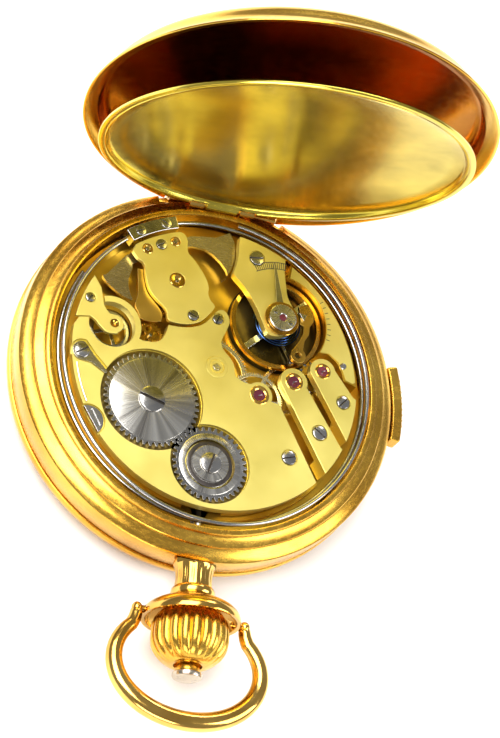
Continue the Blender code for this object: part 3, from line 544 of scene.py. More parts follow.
def case():
    profile = [
        (27.42, 5.08), (27.5, 5.25), (27.5, 8.45), (27.46, 8.68), (27.3, 8.87), (26.6, 9.22), (25.9, 9.55),
        (25.78, 9.66), (25.74, 9.9), (25.66, 10.0), (25.33, 10.06), (24.9, 10.2), (24.45, 10.38),
        (24.3, 10.5), (24.25, 10.82), (24.17, 10.94), (24.0, 11.0), (23.55, 11.0), (23.42, 10.95),
        (23.35, 10.82), (23.35, 4.05), (24.6, 4.05), (24.6, 4.95), (27.3, 4.97)
    ]
    band = solid("band", turned(profile, count=220))
    cut(band, box((-8.6, 8.6), (26.8, 28.5), (6.9, 9.5)))
    slot = arc(28.5, -11.0, 13.0, 9) + arc(22.5, 13.0, -11.0, 9)
    groove = arc(25.1, 200, 262, 24) + arc(23.0, 262, 200, 24)
    cut(band, rod(1.36, -9.4, 9.4, BACK_HINGE), rod(1.1, -8.0, 8.0, FRONT_HINGE),
        prism(slot, 6.45, 7.75), prism(groove, 5.6, 6.7))
    piece(band, GOLD, ["case_band"], angle=28)
    sets = (
        ("back", BACK_HINGE, 0.75, 3.1, 8.0, (24.3, 26.45), (7.2, 8.95), 0),
        ("front", FRONT_HINGE, 0.6, 3.1, 7.6, (25.2, 26.95), (4.7, 6.3), 0),
        ("inner", CUVETTE_HINGE, 0.6, 2.7, 4.8, (24.05, 25.05), (9.6, 11.45), CUVETTE_TURN),
    )
    for label, hinge, radius, near, far, *web, turn in sets:
        for index, (low, high) in enumerate(((-far, -near), (near, far))):
            tube = solid(f"{label}_knuckle_{index}", rod(radius, low, high, hinge))
            join(tube, box((low + 0.05, high - 0.05), *web))
            tube.data.transform(turn_about("Z", turn))
            piece(tube, GOLD_BRIGHT, bevel=0.07)


def lids():
    profile = [
        (28.0, 9.05), (28.0, 9.28), (27.9, 9.38), (27.4, 9.62), (26.95, 10.0), (26.6, 10.5), (26.35, 11.1),
        (26.15, 11.6), (25.95, 12.0), (25.5, 12.5), (24.6, 12.88), (22.8, 13.32), (20.0, 13.88), (16.0, 14.4),
        (12.0, 14.75), (6.0, 14.99), (0, 15.05), (0, 14.5), (6.0, 14.43), (12.0, 14.2), (16.0, 13.88),
        (19.8, 13.4), (22.8, 12.92), (24.0, 12.65), (24.6, 12.5), (25.3, 12.22), (25.62, 11.9), (25.8, 11.55),
        (25.95, 11.1), (26.05, 10.5), (26.05, 9.95), (26.15, 9.82), (27.5, 9.12), (27.7, 9.03), (27.95, 9.02)
    ]
    lid = solid("back_lid", turned(profile, count=240))
    cut(lid, box((-8.3, 8.3), (26.65, 29.0), (8.0, 10.3)))
    hang(lid, BACK_HINGE, 1.0, 2.9, 8.4, 0.75, 2.7)
    lid.data.transform(opening(BACK_HINGE, BACK_OPEN))
    lid = piece(lid, LID_GOLD, ["back_cover"], "back_cover", angle=40)
    # The bowl inside the lid takes a darker, redder copy of the gold: painted shade.
    lid.data.materials.append(BOWL_GOLD_PAINTED_SHADE)
    back = opening(BACK_HINGE, BACK_OPEN).inverted()
    for face in lid.data.polygons:
        centre = back @ (face.center * 1000)
        if math.hypot(centre.x, centre.y) < 26.1 and 9.9 < centre.z < 14.55:
            if (back.to_3x3() @ face.normal).z < 0.2:
                face.material_index = 1

    edge = [(25.2, 11.3), (25.2, 11.62), (25.1, 11.78), (24.85, 11.95), (24.3, 12.25), (22.0, 12.75),
            (16.0, 13.08), (8.0, 13.3), (0, 13.35), (0, 12.9), (8.0, 12.85), (16.0, 12.62), (21.8, 12.3),
            (23.5, 12.0), (23.85, 11.8), (23.95, 11.55), (24.05, 11.42), (24.12, 11.55), (24.2, 11.6),
            (24.28, 11.45), (24.4, 11.3), (24.6, 11.25), (25.05, 11.25)]
    lid = solid("inner_lid", turned(edge, count=240))
    hang(lid, CUVETTE_HINGE, 0.8, 2.5, 5.1, 0.6, 2.3)
    lid.data.transform(opening(CUVETTE_HINGE, CUVETTE_OPEN, CUVETTE_TURN))
    piece(lid, INNER_GOLD, ["cuvette"], "cuvette", angle=40)

    profile = [(27.2, 4.65), (27.55, 4.55), (27.66, 4.35), (27.66, 3.7), (27.45, 3.0), (26.9, 2.25),
               (25.9, 1.6), (24.0, 1.0), (20.5, 0.4), (17.5, 0.1), (15.0, 0.0), (0, 0.0), (0, 0.6),
               (14.8, 0.6), (20.3, 0.95), (24.0, 1.7), (26.2, 2.7), (26.9, 3.7), (26.9, 4.65)]
    lid = solid("front_lid", turned(profile, count=200))
    cut(lid, box((-8.0, 8.0), (27.35, 29.0), (3.4, 6.0)))
    hang(lid, FRONT_HINGE, 0.85, 2.9, 7.9, 0.6, 2.6)
    piece(lid, GOLD, ["front_cover"], "front_cover", angle=40)


def pendant_and_crown():
    def faceted(radius, i, z):
        return radius * (1 + 0.045 * abs(math.sin(i * math.pi / 8))) if 28.9 < z < 31.4 else radius

    profile = [
        (0.72, 27.62), (2.55, 27.62), (2.85, 27.7), (2.9, 27.95), (2.88, 28.25), (2.7, 28.55), (2.5, 28.95),
        (2.4, 29.6), (2.38, 30.4), (2.45, 31.1), (2.5, 31.4), (2.75, 31.5), (2.95, 31.75), (3.02, 32.15),
        (2.95, 32.55), (2.75, 32.8), (2.62, 32.95), (2.75, 33.1), (3.3, 33.2), (4.2, 33.45), (5.2, 33.85),
        (6.0, 34.35), (6.5, 34.9), (6.75, 35.5), (6.8, 36.0), (6.72, 36.18), (6.5, 36.2), (6.2, 36.1),
        (6.1, 35.7), (5.8, 35.1), (4.9, 34.6), (3.5, 34.4), (0.72, 34.3)
    ]
    neck = solid("pendant_bell", along_y(turned(profile, count=128, radius_of=faceted)))
    cut(neck, rod(0.6, -8.0, 8.0, (0, BOW_Y, PENDANT_Z)))
    cut(neck, box((-4.0, 4.0), (-28.4, -27.0), (8.85, 12.0)))
    piece(neck, GOLD_BRIGHT, ["pendant"], angle=38)

    def fluted(radius, i, z):
        if radius < 2.95 or z < 34.8:
            return radius
        phase = (i / 160 * 20) % 1.0
        dip = abs(math.sin(math.pi * phase)) ** 0.6
        share = min(1.0, max(0.0, (42.1 - z) / 1.2)) * min(1.0, max(0.0, (z - 34.8) / 0.8))
        return radius * (1 - 0.085 * share * (1 - dip))

    profile = [(0.9, 34.78), (3.3, 34.78), (3.9, 34.95), (4.5, 35.4), (4.95, 36.1), (5.2, 36.9),
               (5.3, 37.8), (5.3, 38.8), (5.18, 39.6), (4.9, 40.3), (4.45, 41.0), (3.85, 41.6),
               (3.2, 42.05), (2.7, 42.28), (2.3, 42.38), (1.95, 42.35), (1.95, 41.1), (0.9, 41.1)]
    crown = along_y(turned(profile, count=160, radius_of=fluted))
    piece(crown, GOLD, ["winding_crown"], "crown", angle=50, name="fluted_crown")

    profile = [(0, 35.2), (0.6, 35.2), (0.6, 42.3), (1.5, 42.3), (1.62, 42.5), (1.62, 43.2), (1.7, 43.3),
               (1.95, 43.36), (2.05, 43.5), (2.05, 43.85), (1.95, 44.05), (1.6, 44.2), (0.8, 44.25),
               (0, 44.25)]
    button = piece(along_y(turned(profile, count=64)), GOLD, ["crown_button"], "button",
                   slot="polished_steel", name="push_button")
    button.data.materials.append(HAMMER_STEEL)
    for face in button.data.polygons:
        if face.center.y < -0.0433:
            face.material_index = 1

    route = [(7.66, BOW_Y - 0.05), (7.68, BOW_Y - 0.4), (7.74, BOW_Y - 0.9), (7.88, BOW_Y - 1.5),
             (8.12, BOW_Y - 2.05)]
    for i in range(45):
        angle = math.radians(37 - 127 * i / 44)
        route.append((10.35 * math.cos(angle), -42.4 + 7.5 * math.sin(angle)))
    path = route + [(-x, y) for x, y in route[-2::-1]]
    radii = [0.8 + 0.55 * max(0.0, (BOW_Y - y) / 14.5) ** 0.7 for x, y in path]
    radii[0] = radii[-1] = 0.62
    wire = solid("bow_ring", sweep([(x, y, PENDANT_Z) for x, y in path], radii, 28))
    piece(wire, GOLD_BRIGHT, ["bow"], "bow", angle=60)
    for label, low, high in (("right", 6.2, 7.9), ("left", -7.9, -6.2)):
        peg = rod(0.45, low, high, (0, BOW_Y, PENDANT_Z))
        piece(peg, GOLD_BRIGHT, body="bow", name=f"bow_peg_{label}", bevel=0.05)
        ball = [(math.sin(math.pi * i / 24) * 0.8, -math.cos(math.pi * i / 24) * 0.75) for i in range(25)]
        ball = moved(turned(ball, count=48), turn_about("Y", 90))
        shift = Matrix.Translation((7.66 if label == "right" else -7.66, BOW_Y, PENDANT_Z))
        piece(moved(ball, shift), GOLD_BRIGHT, body="bow", name=f"bow_eye_{label}", angle=60)


def slide():
    outline = arc(29.45, -7.2, 15.6, 24) + arc(27.85, 15.6, -7.2, 24)
    grip = solid("slide_grip", prism(outline, 5.7, 8.4))
    tongue = arc(28.4, 7.0, 11.6, 4) + arc(23.7, 11.6, 7.0, 4)
    join(grip, prism(tongue, 6.75, 7.45))
    piece(grip, GOLD, ["repeater_slide"], "slide", bevel=0.3, segments=3)
    for k in range(9):
        angle = -2.5 + k * 1.7
        rib = prism(arc(29.56, angle, angle + 0.7, 3) + arc(29.2, angle + 0.7, angle, 3), 5.95, 8.15)
        piece(rib, GOLD_BRIGHT, body="slide", name=f"slide_rib_{k}", bevel=0.08)


# ---- plates and bridges ----

def main_plate():
    profile = [(0, 6.9), (23.05, 6.9), (23.05, 7.5), (21.3, 7.5), (21.3, 8.3), (0, 8.3)]
    plate = solid("pillar_plate", turned(profile, count=160))
    rim = arc(21.15, 5.0, 61.0, 40) + arc(7.0, 83.0, -30.0, 40, BALANCE)
    rim += [(16.6, 5.95), (18.0, 5.0), (18.8, 3.6), (19.1, 2.4), (20.6, 2.0)]
    join(plate, prism(rim, 8.0, 11.0))
    channel = [(0.8, -24.0), (0.8, -19.1), (1.7, -19.1), (1.7, -16.9), (0.8, -16.9), (0.8, -16.2)]
    cut(plate, pin(9.3, 7.2, 9.0, BARREL, 80), pin(0.95, 6.0, 9.0), pin(0.45, 6.0, 9.0, FOURTH),
        prism(channel + [(-x, y) for x, y in channel[::-1]], 6.0, 9.0))
    piece(plate, PLATE_GILT, ["main_plate"], bevel=0.06)
    top = arc(21.0, 7.0, 60.0, 40) + arc(7.15, 80.0, -28.0, 40, BALANCE)
    top += [(16.7, 6.1), (18.2, 5.1), (19.0, 3.7), (19.4, 2.6), (20.5, 2.3)]
    piece(prism(top, 10.98, 11.03), GILT, name="plate_rim_face")
    # A near-black disc on the plate under the balance: painted shade in the balance's well.
    piece(pin(6.9, 8.28, 8.33, BALANCE, 96), WELL_PAINTED_SHADE, name="balance_well_painted_shade")
    # Engraved ticks beside the balance, and a small steel pin.
    for k in range(8):
        angle = 35 - k * 6.4
        tick = bar(polar(7.25, angle, BALANCE), polar(7.75, angle, BALANCE), 0.09, 11.0, 11.05)
        piece(tick, INK, name=f"tick_{k}")
    dome = [(0, 10.9), (0.5, 10.9), (0.5, 11.15), (0.4, 11.28), (0, 11.34)]
    piece(turned(dome, (18.9, 4.6), 32), STEEL, name="steel_pin")


def barrel_bridge_outline():
    inner = [(9.5, -3.6)] + arc(1.9, -20, 135, 18, THIRD)
    inner += soft([
        (4.1, -1.4), (2.8, -0.9), (2.6, 0.1), (2.5, 1.0), (1.8, 1.9), (1.1, 2.5), (0.5, 3.3), (0.4, 4.1),
        (0.8, 5.1), (1.3, 6.4), (1.5, 7.3), (1.1, 8.4), (0.3, 8.9), (-0.5, 8.5), (-1.3, 7.2), (-2.4, 5.9),
        (-3.8, 5.2), (-5.4, 4.8), (-7.4, 4.7)
    ])
    inner += soft([(-7.45, 4.5), (-7.6, 3.6), (-8.2, 2.2), (-9.3, 1.6), (-10.9, 1.5)])
    return arc(BRIDGE_R, 175, 318, 90) + inner + arc(4.2, -18, 150, 32, (-15.45, 2.95))


def governor_outline():
    edge = soft([(-17.4, 8.1), (-17.0, 6.4), (-16.7, 5.3), (-15.9, 4.5)])
    hub = arc(1.3, 85, -60, 16, (-15.1, 3.15))
    back = soft([(-14.5, 1.75), (-16.1, 1.5), (-17.1, 2.3), (-17.9, 3.1), (-18.7, 3.5)])
    return edge + hub + back + arc(BRIDGE_R, 171.5, 152.3, 12)


def click_outline():
    return arc(1.35, 75, 255, 24, CLICK) + [(-17.9, -3.25), (-15.75, -4.45), (-15.5, -4.1), (-17.6, -2.1)]


def bridges():
    bridge = solid("barrel_plate", prism(barrel_bridge_outline(), BRIDGE_LOW, BRIDGE_TOP))
    cut(bridge, pin(7.4, RECESS, ABOVE, BARREL, 120), pin(2.35, 11.05, ABOVE, DOG, 48),
        pin(3.35, 9, ABOVE, (-15.45, 2.95), 64), pin(1.62, 11.25, ABOVE, (0, 0)), pin(0.55, 9, 11.3, (0, 0)))
    cut(bridge, pin(5.75, RECESS, ABOVE, CROWN_WHEEL, 100),
        prism(grown(click_outline(), 0.3), RECESS, ABOVE), pin(1.2, 11.2, ABOVE, (11.4, -11.15)),
        pin(0.9, 11.2, ABOVE, (-0.25, 7.3)), pin(1.06, 11.25, ABOVE, THIRD))
    cut(bridge, prism(grown(governor_outline(), 0.2), 10.85, ABOVE))
    cut(bridge, pin(0.9, 9, ABOVE, BARREL))
    piece(bridge, GILT, ["barrel_bridge"], bevel=0.1, angle=40)
    # The floors of the two wheel recesses are darker than the bridge's face: thin near-black rings laid on
    # them as painted shade.
    for label, centre, inner, outer in (("ratchet", BARREL, 1.2, 7.36),
                                        ("transmission", CROWN_WHEEL, 3.4, 5.71)):
        floor = [(inner, 10.93), (outer, 10.93), (outer, 10.97), (inner, 10.97)]
        piece(turned(floor, centre, 96), WELL_PAINTED_SHADE, name=f"{label}_recess_painted_shade")
    # The feet under the barrel bridge take the darker gilding as painted shade.
    for label, start, end in (("left", 186, 262), ("right", 278, 316)):
        foot = arc(20.6, start, end, 40) + arc(19.3, end, start, 40)
        piece(prism(foot, FOOT, BRIDGE_LOW + 0.1), GILT_DARK_SHADE, name=f"barrel_foot_{label}")

    specs = (
        ("fourth_bridge", FOURTH, 2.05, (205, -15), (18.9, -8.0), (-23.2, -36.3), 1.02,
         (15.7, -6.5), 1.05, "fourth_wheel_bridge"),
        ("escape_bridge", ESCAPE, 1.9, (200, 15), (20.4, -0.1), (-0.9, -19.3), 0.92,
         (19.0, -1.15), 0.95, "escape_wheel_bridge"),
    )
    for name, lobe, radius, span, right, outer, hole, at, head, node in specs:
        outline = arc(radius, span[0], span[1], 32, lobe) + [right] + arc(BRIDGE_R, outer[0], outer[1], 16)
        finger = solid(name, prism(outline, FOOT, BRIDGE_TOP))
        cut(finger, pin(18.7, FOOT - 1, BRIDGE_LOW, count=120), pin(hole, 11.25, ABOVE, lobe),
            pin(head + 0.14, 11.2, ABOVE, at))
        piece(finger, GILT, [node], bevel=0.1, angle=40)

    edge = soft([
        (2.1, 19.3), (2.2, 18.3), (2.1, 17.3), (1.8, 15.8), (1.5, 14.9), (1.8, 14.5), (3.6, 12.9),
        (5.1, 10.8), (6.1, 8.8), (6.9, 7.1), (7.6, 6.55), (8.9, 6.75), (10.5, 7.5), (11.4, 9.0), (11.3, 10.8),
        (10.3, 12.2), (9.75, 13.2), (9.5, 14.8), (9.3, 15.8), (9.1, 17.5), (9.2, 18.75)
    ])
    cock = solid("cock", prism(edge + arc(BRIDGE_R, 63.9, 84.0, 20), 10.4, 11.6))
    join(cock, prism([(2.7, 17.0), (8.8, 17.0), (8.9, 18.5)] + arc(20.6, 64.8, 82.2, 12), FOOT, 10.8))
    cut(cock, pin(1.2, 11.2, ABOVE, (4.9, 18.05)))
    piece(cock, GILT, ["balance_cock"], bevel=0.1, angle=40)
    # The engraved regulation scale on the cock: two arcs with divisions between them.
    for index, radius in enumerate((7.75, 8.75)):
        line = arc(radius + 0.05, 88, 122, 24, BALANCE) + arc(radius - 0.05, 122, 88, 24, BALANCE)
        piece(prism(line, 11.59, 11.615), INK, name=f"scale_line_{index}")
    for k in range(16):
        angle = 89 + k * 2.1
        mark = bar(polar(7.8, angle, BALANCE), polar(8.7, angle, BALANCE), 0.1, 11.59, 11.615)
        piece(mark, INK, name=f"scale_{k}")

    left = [
        (-13.4, 14.8), (-12.6, 13.8), (-11.5, 13.3), (-11.3, 11.8), (-10.9, 10.3), (-10.4, 9.2), (-9.4, 8.2),
        (-8.4, 7.5), (-7.7, 6.7), (-7.7, 5.8), (-7.3, 5.3), (-5.4, 5.3), (-3.9, 5.7), (-2.7, 6.4),
        (-1.9, 7.3), (-1.0, 8.6), (-0.8, 9.2), (-1.6, 9.9), (-2.0, 10.8), (-1.9, 11.8), (-2.4, 13.1),
        (-3.4, 14.5), (-4.6, 15.8), (-5.3, 16.3), (-5.5, 17.3), (-5.5, 18.3), (-5.9, 19.1), (-6.6, 19.35)
    ]
    bridge = solid("striking_bridge", prism(soft(left) + arc(20.5, 109.5, 129.5, 16), 10.9, 11.6))
    cut(bridge, pin(1.15, 11.3, ABOVE, REPEATER), pin(0.8, 11.3, ABOVE, HOUR_POST),
        pin(0.75, 11.3, ABOVE, QUARTER_POST),
        pin(0.85, 11.25, ABOVE, (-9.3, 16.75)), pin(0.85, 11.25, ABOVE, (-3.9, 7.0)))
    piece(bridge, GILT, ["repeater_bridge"], bevel=0.09, angle=40)
    # The strip under the striking bridge takes the darker gilding as painted shade.
    strip = soft([(-12.2, 12.7), (-11.8, 9.0), (-12.0, 8.0), (-12.2, 7.0), (-11.5, 5.8), (-11.2, 5.0),
                  (-8.3, 5.2), (-8.0, 6.4), (-8.6, 7.4), (-9.6, 8.4), (-10.6, 9.4), (-11.0, 11.0),
                  (-11.3, 12.7)])
    piece(prism(strip, 10.4, 10.75), GILT_DARK_SHADE, ["repeater_under_bridge"], bevel=0.06, name="under_strip")

    cock = solid("fly_cock", prism(governor_outline(), 11.0, 11.6))
    cut(cock, pin(0.75, 11.3, ABOVE, (-18.85, 6.25)), pin(0.62, 11.3, ABOVE, (-15.1, 3.2)))
    piece(cock, GILT, ["governor_cock"], bevel=0.08, angle=40)

    plate = [(11.85, 9.4), (11.85, 11.2), (11.6, 12.0), (13.0, 12.75), (13.8, 11.6), (13.95, 10.2),
             (13.4, 9.2), (13.35, 8.0), (12.75, 6.9), (12.6, 5.6)]
    eye = arc(1.15, 50, -230, 28, (11.9, 4.5))
    arm = solid("stud_cock", prism(plate + eye + [(11.8, 6.5), (12.4, 8.0), (12.45, 9.1)], 10.95, 11.6))
    cut(arm, pin(0.45, 10.0, 12.0, (11.9, 4.5)))
    piece(arm, GILT_DARK_SHADE, ["stud_arm"], bevel=0.08)
    stud = prism([(11.55, 10.9), (12.75, 10.75), (12.35, 9.75)], 11.6, 11.95)
    piece(stud, STEEL, name="hairspring_stud", bevel=0.06)


def bushings():
    ring = [(0.5, 11.2), (1.6, 11.2), (1.6, 11.62), (1.52, 11.7), (1.1, 11.7), (1.02, 11.56), (0.85, 11.56),
            (0.8, 11.68), (0.6, 11.68), (0.5, 11.5)]
    piece(turned(ring, (0, 0), 64), GILT, slot="gold", name="centre_bushing")
    piece(pin(0.48, 11.0, 11.62, (0, 0)), PALE_STEEL, body="centre", name="centre_pivot", bevel=0.05)
    jewel_setting("third", THIRD, 0.85, 1.4)
    jewel_setting("fourth", FOURTH, 0.85, 1.3)
    jewel_setting("escape", ESCAPE, 0.75, 1.15, PINK)
    spots = ((REPEATER, 1.15, "striking"), (HOUR_POST, 0.8, "hour_hammer"),
             (QUARTER_POST, 0.75, "quarter_hammer"))
    for centre, radius, label in spots:
        ring = [(0.3, 11.28), (radius - 0.02, 11.28), (radius - 0.02, 11.62), (radius - 0.1, 11.68),
                (radius * 0.6, 11.66), (0.3, 11.5)]
        piece(turned(ring, centre, 48), GOLD_BRIGHT, name=f"{label}_bushing")
        piece(pin(0.28, 11.3, 11.62, centre, 24), STEEL, name=f"{label}_post", bevel=0.03)
    ring = [(0.18, 11.28), (0.6, 11.28), (0.6, 11.64), (0.4, 11.66), (0.18, 11.5)]
    piece(turned(ring, (-15.1, 3.2), 40), GOLD_BRIGHT, name="fly_bushing")
    screws = (
        ("barrel_right", (11.4, -11.15), 11.68, 1.05, 20),
        ("barrel_upper", (-0.25, 7.3), 11.66, 0.75, 70),
        ("fourth", (15.7, -6.5), 11.68, 1.05, -35),
        ("escape", (19.0, -1.15), 11.68, 0.95, 50),
        ("cock", (4.9, 18.05), 11.68, 1.05, 10),
        ("striking_left", (-9.3, 16.75), 11.66, 0.75, 40),
        ("striking_right", (-3.9, 7.0), 11.66, 0.75, -20),
        ("fly", (-18.85, 6.25), 11.66, 0.65, 60),
    )
    for name, centre, top, radius, slot_angle in screws:
        screw("screw_" + name, centre, top, radius, slot_angle)


# ---- winding work ----

def involute(angle):
    return math.tan(angle) - angle


def gear(teeth, module, centre, phase):
    pressure_angle = math.radians(20)
    pitch = teeth * module / 2
    base = pitch * math.cos(pressure_angle)
    half_tooth = 0.47 * math.pi / teeth + involute(pressure_angle)
    radii = [pitch - 1.1 * module, pitch - 0.4 * module, pitch + 0.2 * module, pitch + 0.7 * module,
             pitch + 0.85 * module]
    outline = []
    for tooth in range(teeth):
        middle = math.radians(phase + 360 * tooth / teeth)
        halves = []
        for radius in radii:
            half = half_tooth - involute(math.acos(min(1.0, base / radius)))
            halves.append((radius, half * (0.75 if radius == radii[-1] else 1.0)))
        for radius, half in halves:
            outline.append(polar(radius, math.degrees(middle - half), centre))
        for radius, half in reversed(halves):
            outline.append(polar(radius, math.degrees(middle + half), centre))
    return outline


def winding():
    line = Vector(CROWN_WHEEL) - Vector(BARREL)
    module = 2 * line.length / 82
    towards = math.degrees(math.atan2(line.y, line.x))
    wheel = solid("ratchet", prism(gear(46, module, BARREL, towards), 11.05, 11.5))
    cut(wheel, pin(0.75, 10, ABOVE, BARREL))
    piece(wheel, STEEL, ["ratchet_wheel"], "ratchet", bevel=0.03)
    face = [(0.8, 11.48), (6.05, 11.48), (6.05, 11.5), (5.95, 11.54), (0.8, 11.54)]
    piece(turned(face, BARREL, 96), RATCHET_STEEL, body="ratchet", name="ratchet_face")
    wheel = solid("transmission", prism(gear(36, module, CROWN_WHEEL, towards + 180 + 5), 11.05, 11.5))
    cut(wheel, pin(3.6, 10, ABOVE, CROWN_WHEEL, 64))
    piece(wheel, STEEL, ["crown_wheel"], "crown_wheel", bevel=0.03)
    face = [(3.6, 11.48), (4.45, 11.48), (4.45, 11.5), (4.38, 11.54), (3.6, 11.54)]
    piece(turned(face, CROWN_WHEEL, 96), CROWN_STEEL, body="crown_wheel", name="transmission_face")
    ring = [(2.7, 11.3), (3.28, 11.3), (3.28, 11.42), (3.2, 11.46), (2.7, 11.46)]
    piece(turned(ring, CROWN_WHEEL, 72), STEEL_PAINTED_SHADE, name="transmission_shadow_ring")
    core = [(0, 11.05), (3.3, 11.05), (3.3, 11.35), (3.2, 11.42), (2.7, 11.45), (2.65, 11.5), (2.65, 11.78),
            (2.57, 11.85), (1.62, 11.85), (1.55, 11.8), (0, 11.8)]
    piece(turned(core, CROWN_WHEEL, 72), CROWN_STEEL, ["crown_wheel_core"], name="transmission_core")
    screw("transmission_screw", CROWN_WHEEL, 12.15, 1.5, 75, depth=0.35)
    arbor = screw("ratchet_head", BARREL, 11.9, 1.9, -15, body="ratchet", depth=0.38)
    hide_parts("ratchet_screw")

    click = solid("click_body", prism(click_outline(), 11.05, 11.5))
    piece(click, STEEL, ["click"], "click", bevel=0.06)
    screw("click_screw", CLICK, 11.72, 1.05, 35, body="click", depth=0.25)
    points = [(*polar(20.38, 191 + 16 * i / 24), 11.78) for i in range(25)]
    piece(sweep(points, [0.12] * 25, 8), STEEL, ["click_spring"], name="click_wire")
    moon = solid("half_moon", prism(arc(2.1, -46, 114, 40, DOG), 11.15, 11.65))
    cut(moon, bar((-16.0, -12.4), (-17.3, -10.2), 0.3, 11.5, 12))
    piece(moon, STEEL, ["dog_screw"], bevel=0.05)
    drum = [(0.9, 7.35), (9.0, 7.35), (9.0, 8.48), (8.85, 8.48), (0.9, 8.48)]
    piece(turned(drum, BARREL, 96), BRASS, ["mainspring_barrel", "mainspring"], "barrel", name="barrel_drum")


# ---- train ----

def toothed(radius, teeth, depth, centre, lean=0.0):
    outline = []
    for k in range(teeth):
        step = 360 / teeth
        for share, r in ((0.0, radius - depth), (0.28, radius - depth), (0.4 + lean, radius),
                         (0.62 + lean, radius), (0.82, radius - depth)):
            outline.append(polar(r, (k + share) * step, centre))
    return outline


def train_wheel(name, centre, radius, level, thick, spokes, teeth, arbor, pinion, depth, material=WHEEL_GILT,
                lean=0.0):
    """A spoked wheel with its arbor and pinion, each of those two given as radius, low and high."""
    body, node, name = name, name + "_wheel", name + "_wheel_v"
    low, high = level, level + thick
    rim, hub = radius * 0.85, max(0.85, radius * 0.2)
    wheel = solid(name, prism(toothed(radius, teeth, depth, centre, lean), low, high))
    thin, half = math.degrees(0.2 / rim), math.degrees(0.2 / hub)
    windows = []
    for i in range(spokes):
        start, end = 360 * i / spokes, 360 * (i + 1) / spokes
        outline = arc(rim, start + thin, end - thin, 18, centre)
        outline += arc(hub, end - half, start + half, 6, centre)
        windows.append(prism(outline, low - 1, high + 1))
    cut(wheel, *windows)
    piece(wheel, material, [node], body, slot="brass", bevel=0.02)
    piece(pin(*arbor, centre, 24), STEEL, body=body, name=name + "_arbor")
    leaves = toothed(pinion[0], 10, 0.2, centre)
    piece(prism(leaves, *pinion[1:]), STEEL, body=body, name=name + "_pinion")


def train():
    centre = (0, 0)
    train_wheel("centre", centre, 5.55, 9.0, 0.25, 5, 80, (0.35, 4.0, 10.2), (0.7, 7.0, 8.9), 0.3)
    train_wheel("third", THIRD, 4.0, 9.9, 0.2, 5, 72, (0.25, 8.45, 10.25), (0.75, 8.85, 9.6), 0.22)
    train_wheel("fourth", FOURTH, 3.6, 8.45, 0.15, 4, 70, (0.2, 4.5, 10.2), (0.6, 8.7, 10.1), 0.2)
    train_wheel("escape", ESCAPE, 2.6, 8.75, 0.2, 4, 15, (0.2, 8.4, 10.2), (0.45, 9.0, 9.8), 0.5, STEEL, 0.2)


def balance():
    rim = [(6.1, 9.12), (6.14, 9.1), (6.71, 9.1), (6.75, 9.14), (6.75, 9.76), (6.71, 9.8), (6.14, 9.8),
           (6.1, 9.76)]
    piece(turned(rim, BALANCE, 120), GOLD_BRIGHT, ["balance_wheel"], "balance", slot="brass",
          name="balance_rim")
    arm = solid("balance_arm", prism([
        *arc(1.1, 70, 200, 12, BALANCE), polar(6.3, 221, BALANCE), polar(6.3, 229, BALANCE),
        *arc(1.1, 250, 380, 12, BALANCE), polar(6.3, 41, BALANCE), polar(6.3, 49, BALANCE)][::-1], 9.3, 9.65))
    piece(arm, PALE_STEEL, body="balance", slot="brass", bevel=0.05)
    for k in range(24):
        angle = 15 * k + 7.5
        out = Matrix.Translation((*polar(6.62, angle, BALANCE), 9.45)) @ turn_about("Z", angle)
        head = turned([(0, 0), (0.24, 0), (0.27, 0.04), (0.27, 0.09), (0.24, 0.13), (0, 0.13)], count=20)
        head = moved(head, out @ turn_about("Y", 90))
        piece(head, GOLD_BRIGHT, body="balance", slot="brass", name=f"balance_screw_{k}")
    staff = [(0, 8.45), (0.2, 8.45), (0.35, 8.7), (0.35, 9.15), (0.75, 9.2), (0.75, 9.9), (0.6, 10.2),
             (0.3, 10.3), (0, 10.3)]
    piece(turned(staff, BALANCE, 40), STEEL, body="balance", name="balance_staff")
    count = 340
    points = []
    for i in range(count):
        share = i / (count - 1)
        points.append((*polar(0.95 + 2.6 * share, 2700 * share, BALANCE), 10.08))
    piece(sweep(points, [0.1] * count, 8), BLUED, ["hairspring"], name="hairspring_coil")
    ring = [(0.75, 11.75), (2.5, 11.75), (2.55, 11.8), (2.55, 11.94), (2.48, 12.0), (0.75, 12.0)]
    piece(turned(ring, BALANCE, 80), GOLD_BRIGHT, ["regulator"], "regulator", slot="brass", name="index_ring")
    side = Vector(polar(1, 10.7))
    base, tip = Vector(polar(2.4, 100.7, BALANCE)), Vector(polar(8.6, 100.7, BALANCE))
    shape = [tuple(base + side * 0.5), tuple(tip + side * 0.08), tuple(tip - side * 0.08),
             tuple(base - side * 0.5)]
    piece(prism(shape, 11.78, 11.98), STEEL, body="regulator", slot="brass", name="index_pointer", bevel=0.04)
    cap = [(0, 11.65), (0.5, 11.65), (0.5, 12.1), (1.95, 12.1), (2.0, 12.15), (2.0, 12.28), (1.9, 12.36),
           (0.62, 12.4), (0.5, 12.3), (0, 12.3)]
    piece(turned(cap, BALANCE, 72), CAP_STEEL, ["endstone_cap"], name="cap_disc")
    stone = [(0, 12.28), (0.5, 12.28), (0.5, 12.34), (0.3, 12.39), (0, 12.4)]
    piece(turned(stone, BALANCE, 36), PINK, name="endstone")
    screw("cap_screw_a", polar(1.3, 150, BALANCE), 12.4, 0.33, 30, depth=0.06)
    screw("cap_screw_b", polar(1.3, -30, BALANCE), 12.4, 0.33, 80, depth=0.06)


# ---- repeating work ----

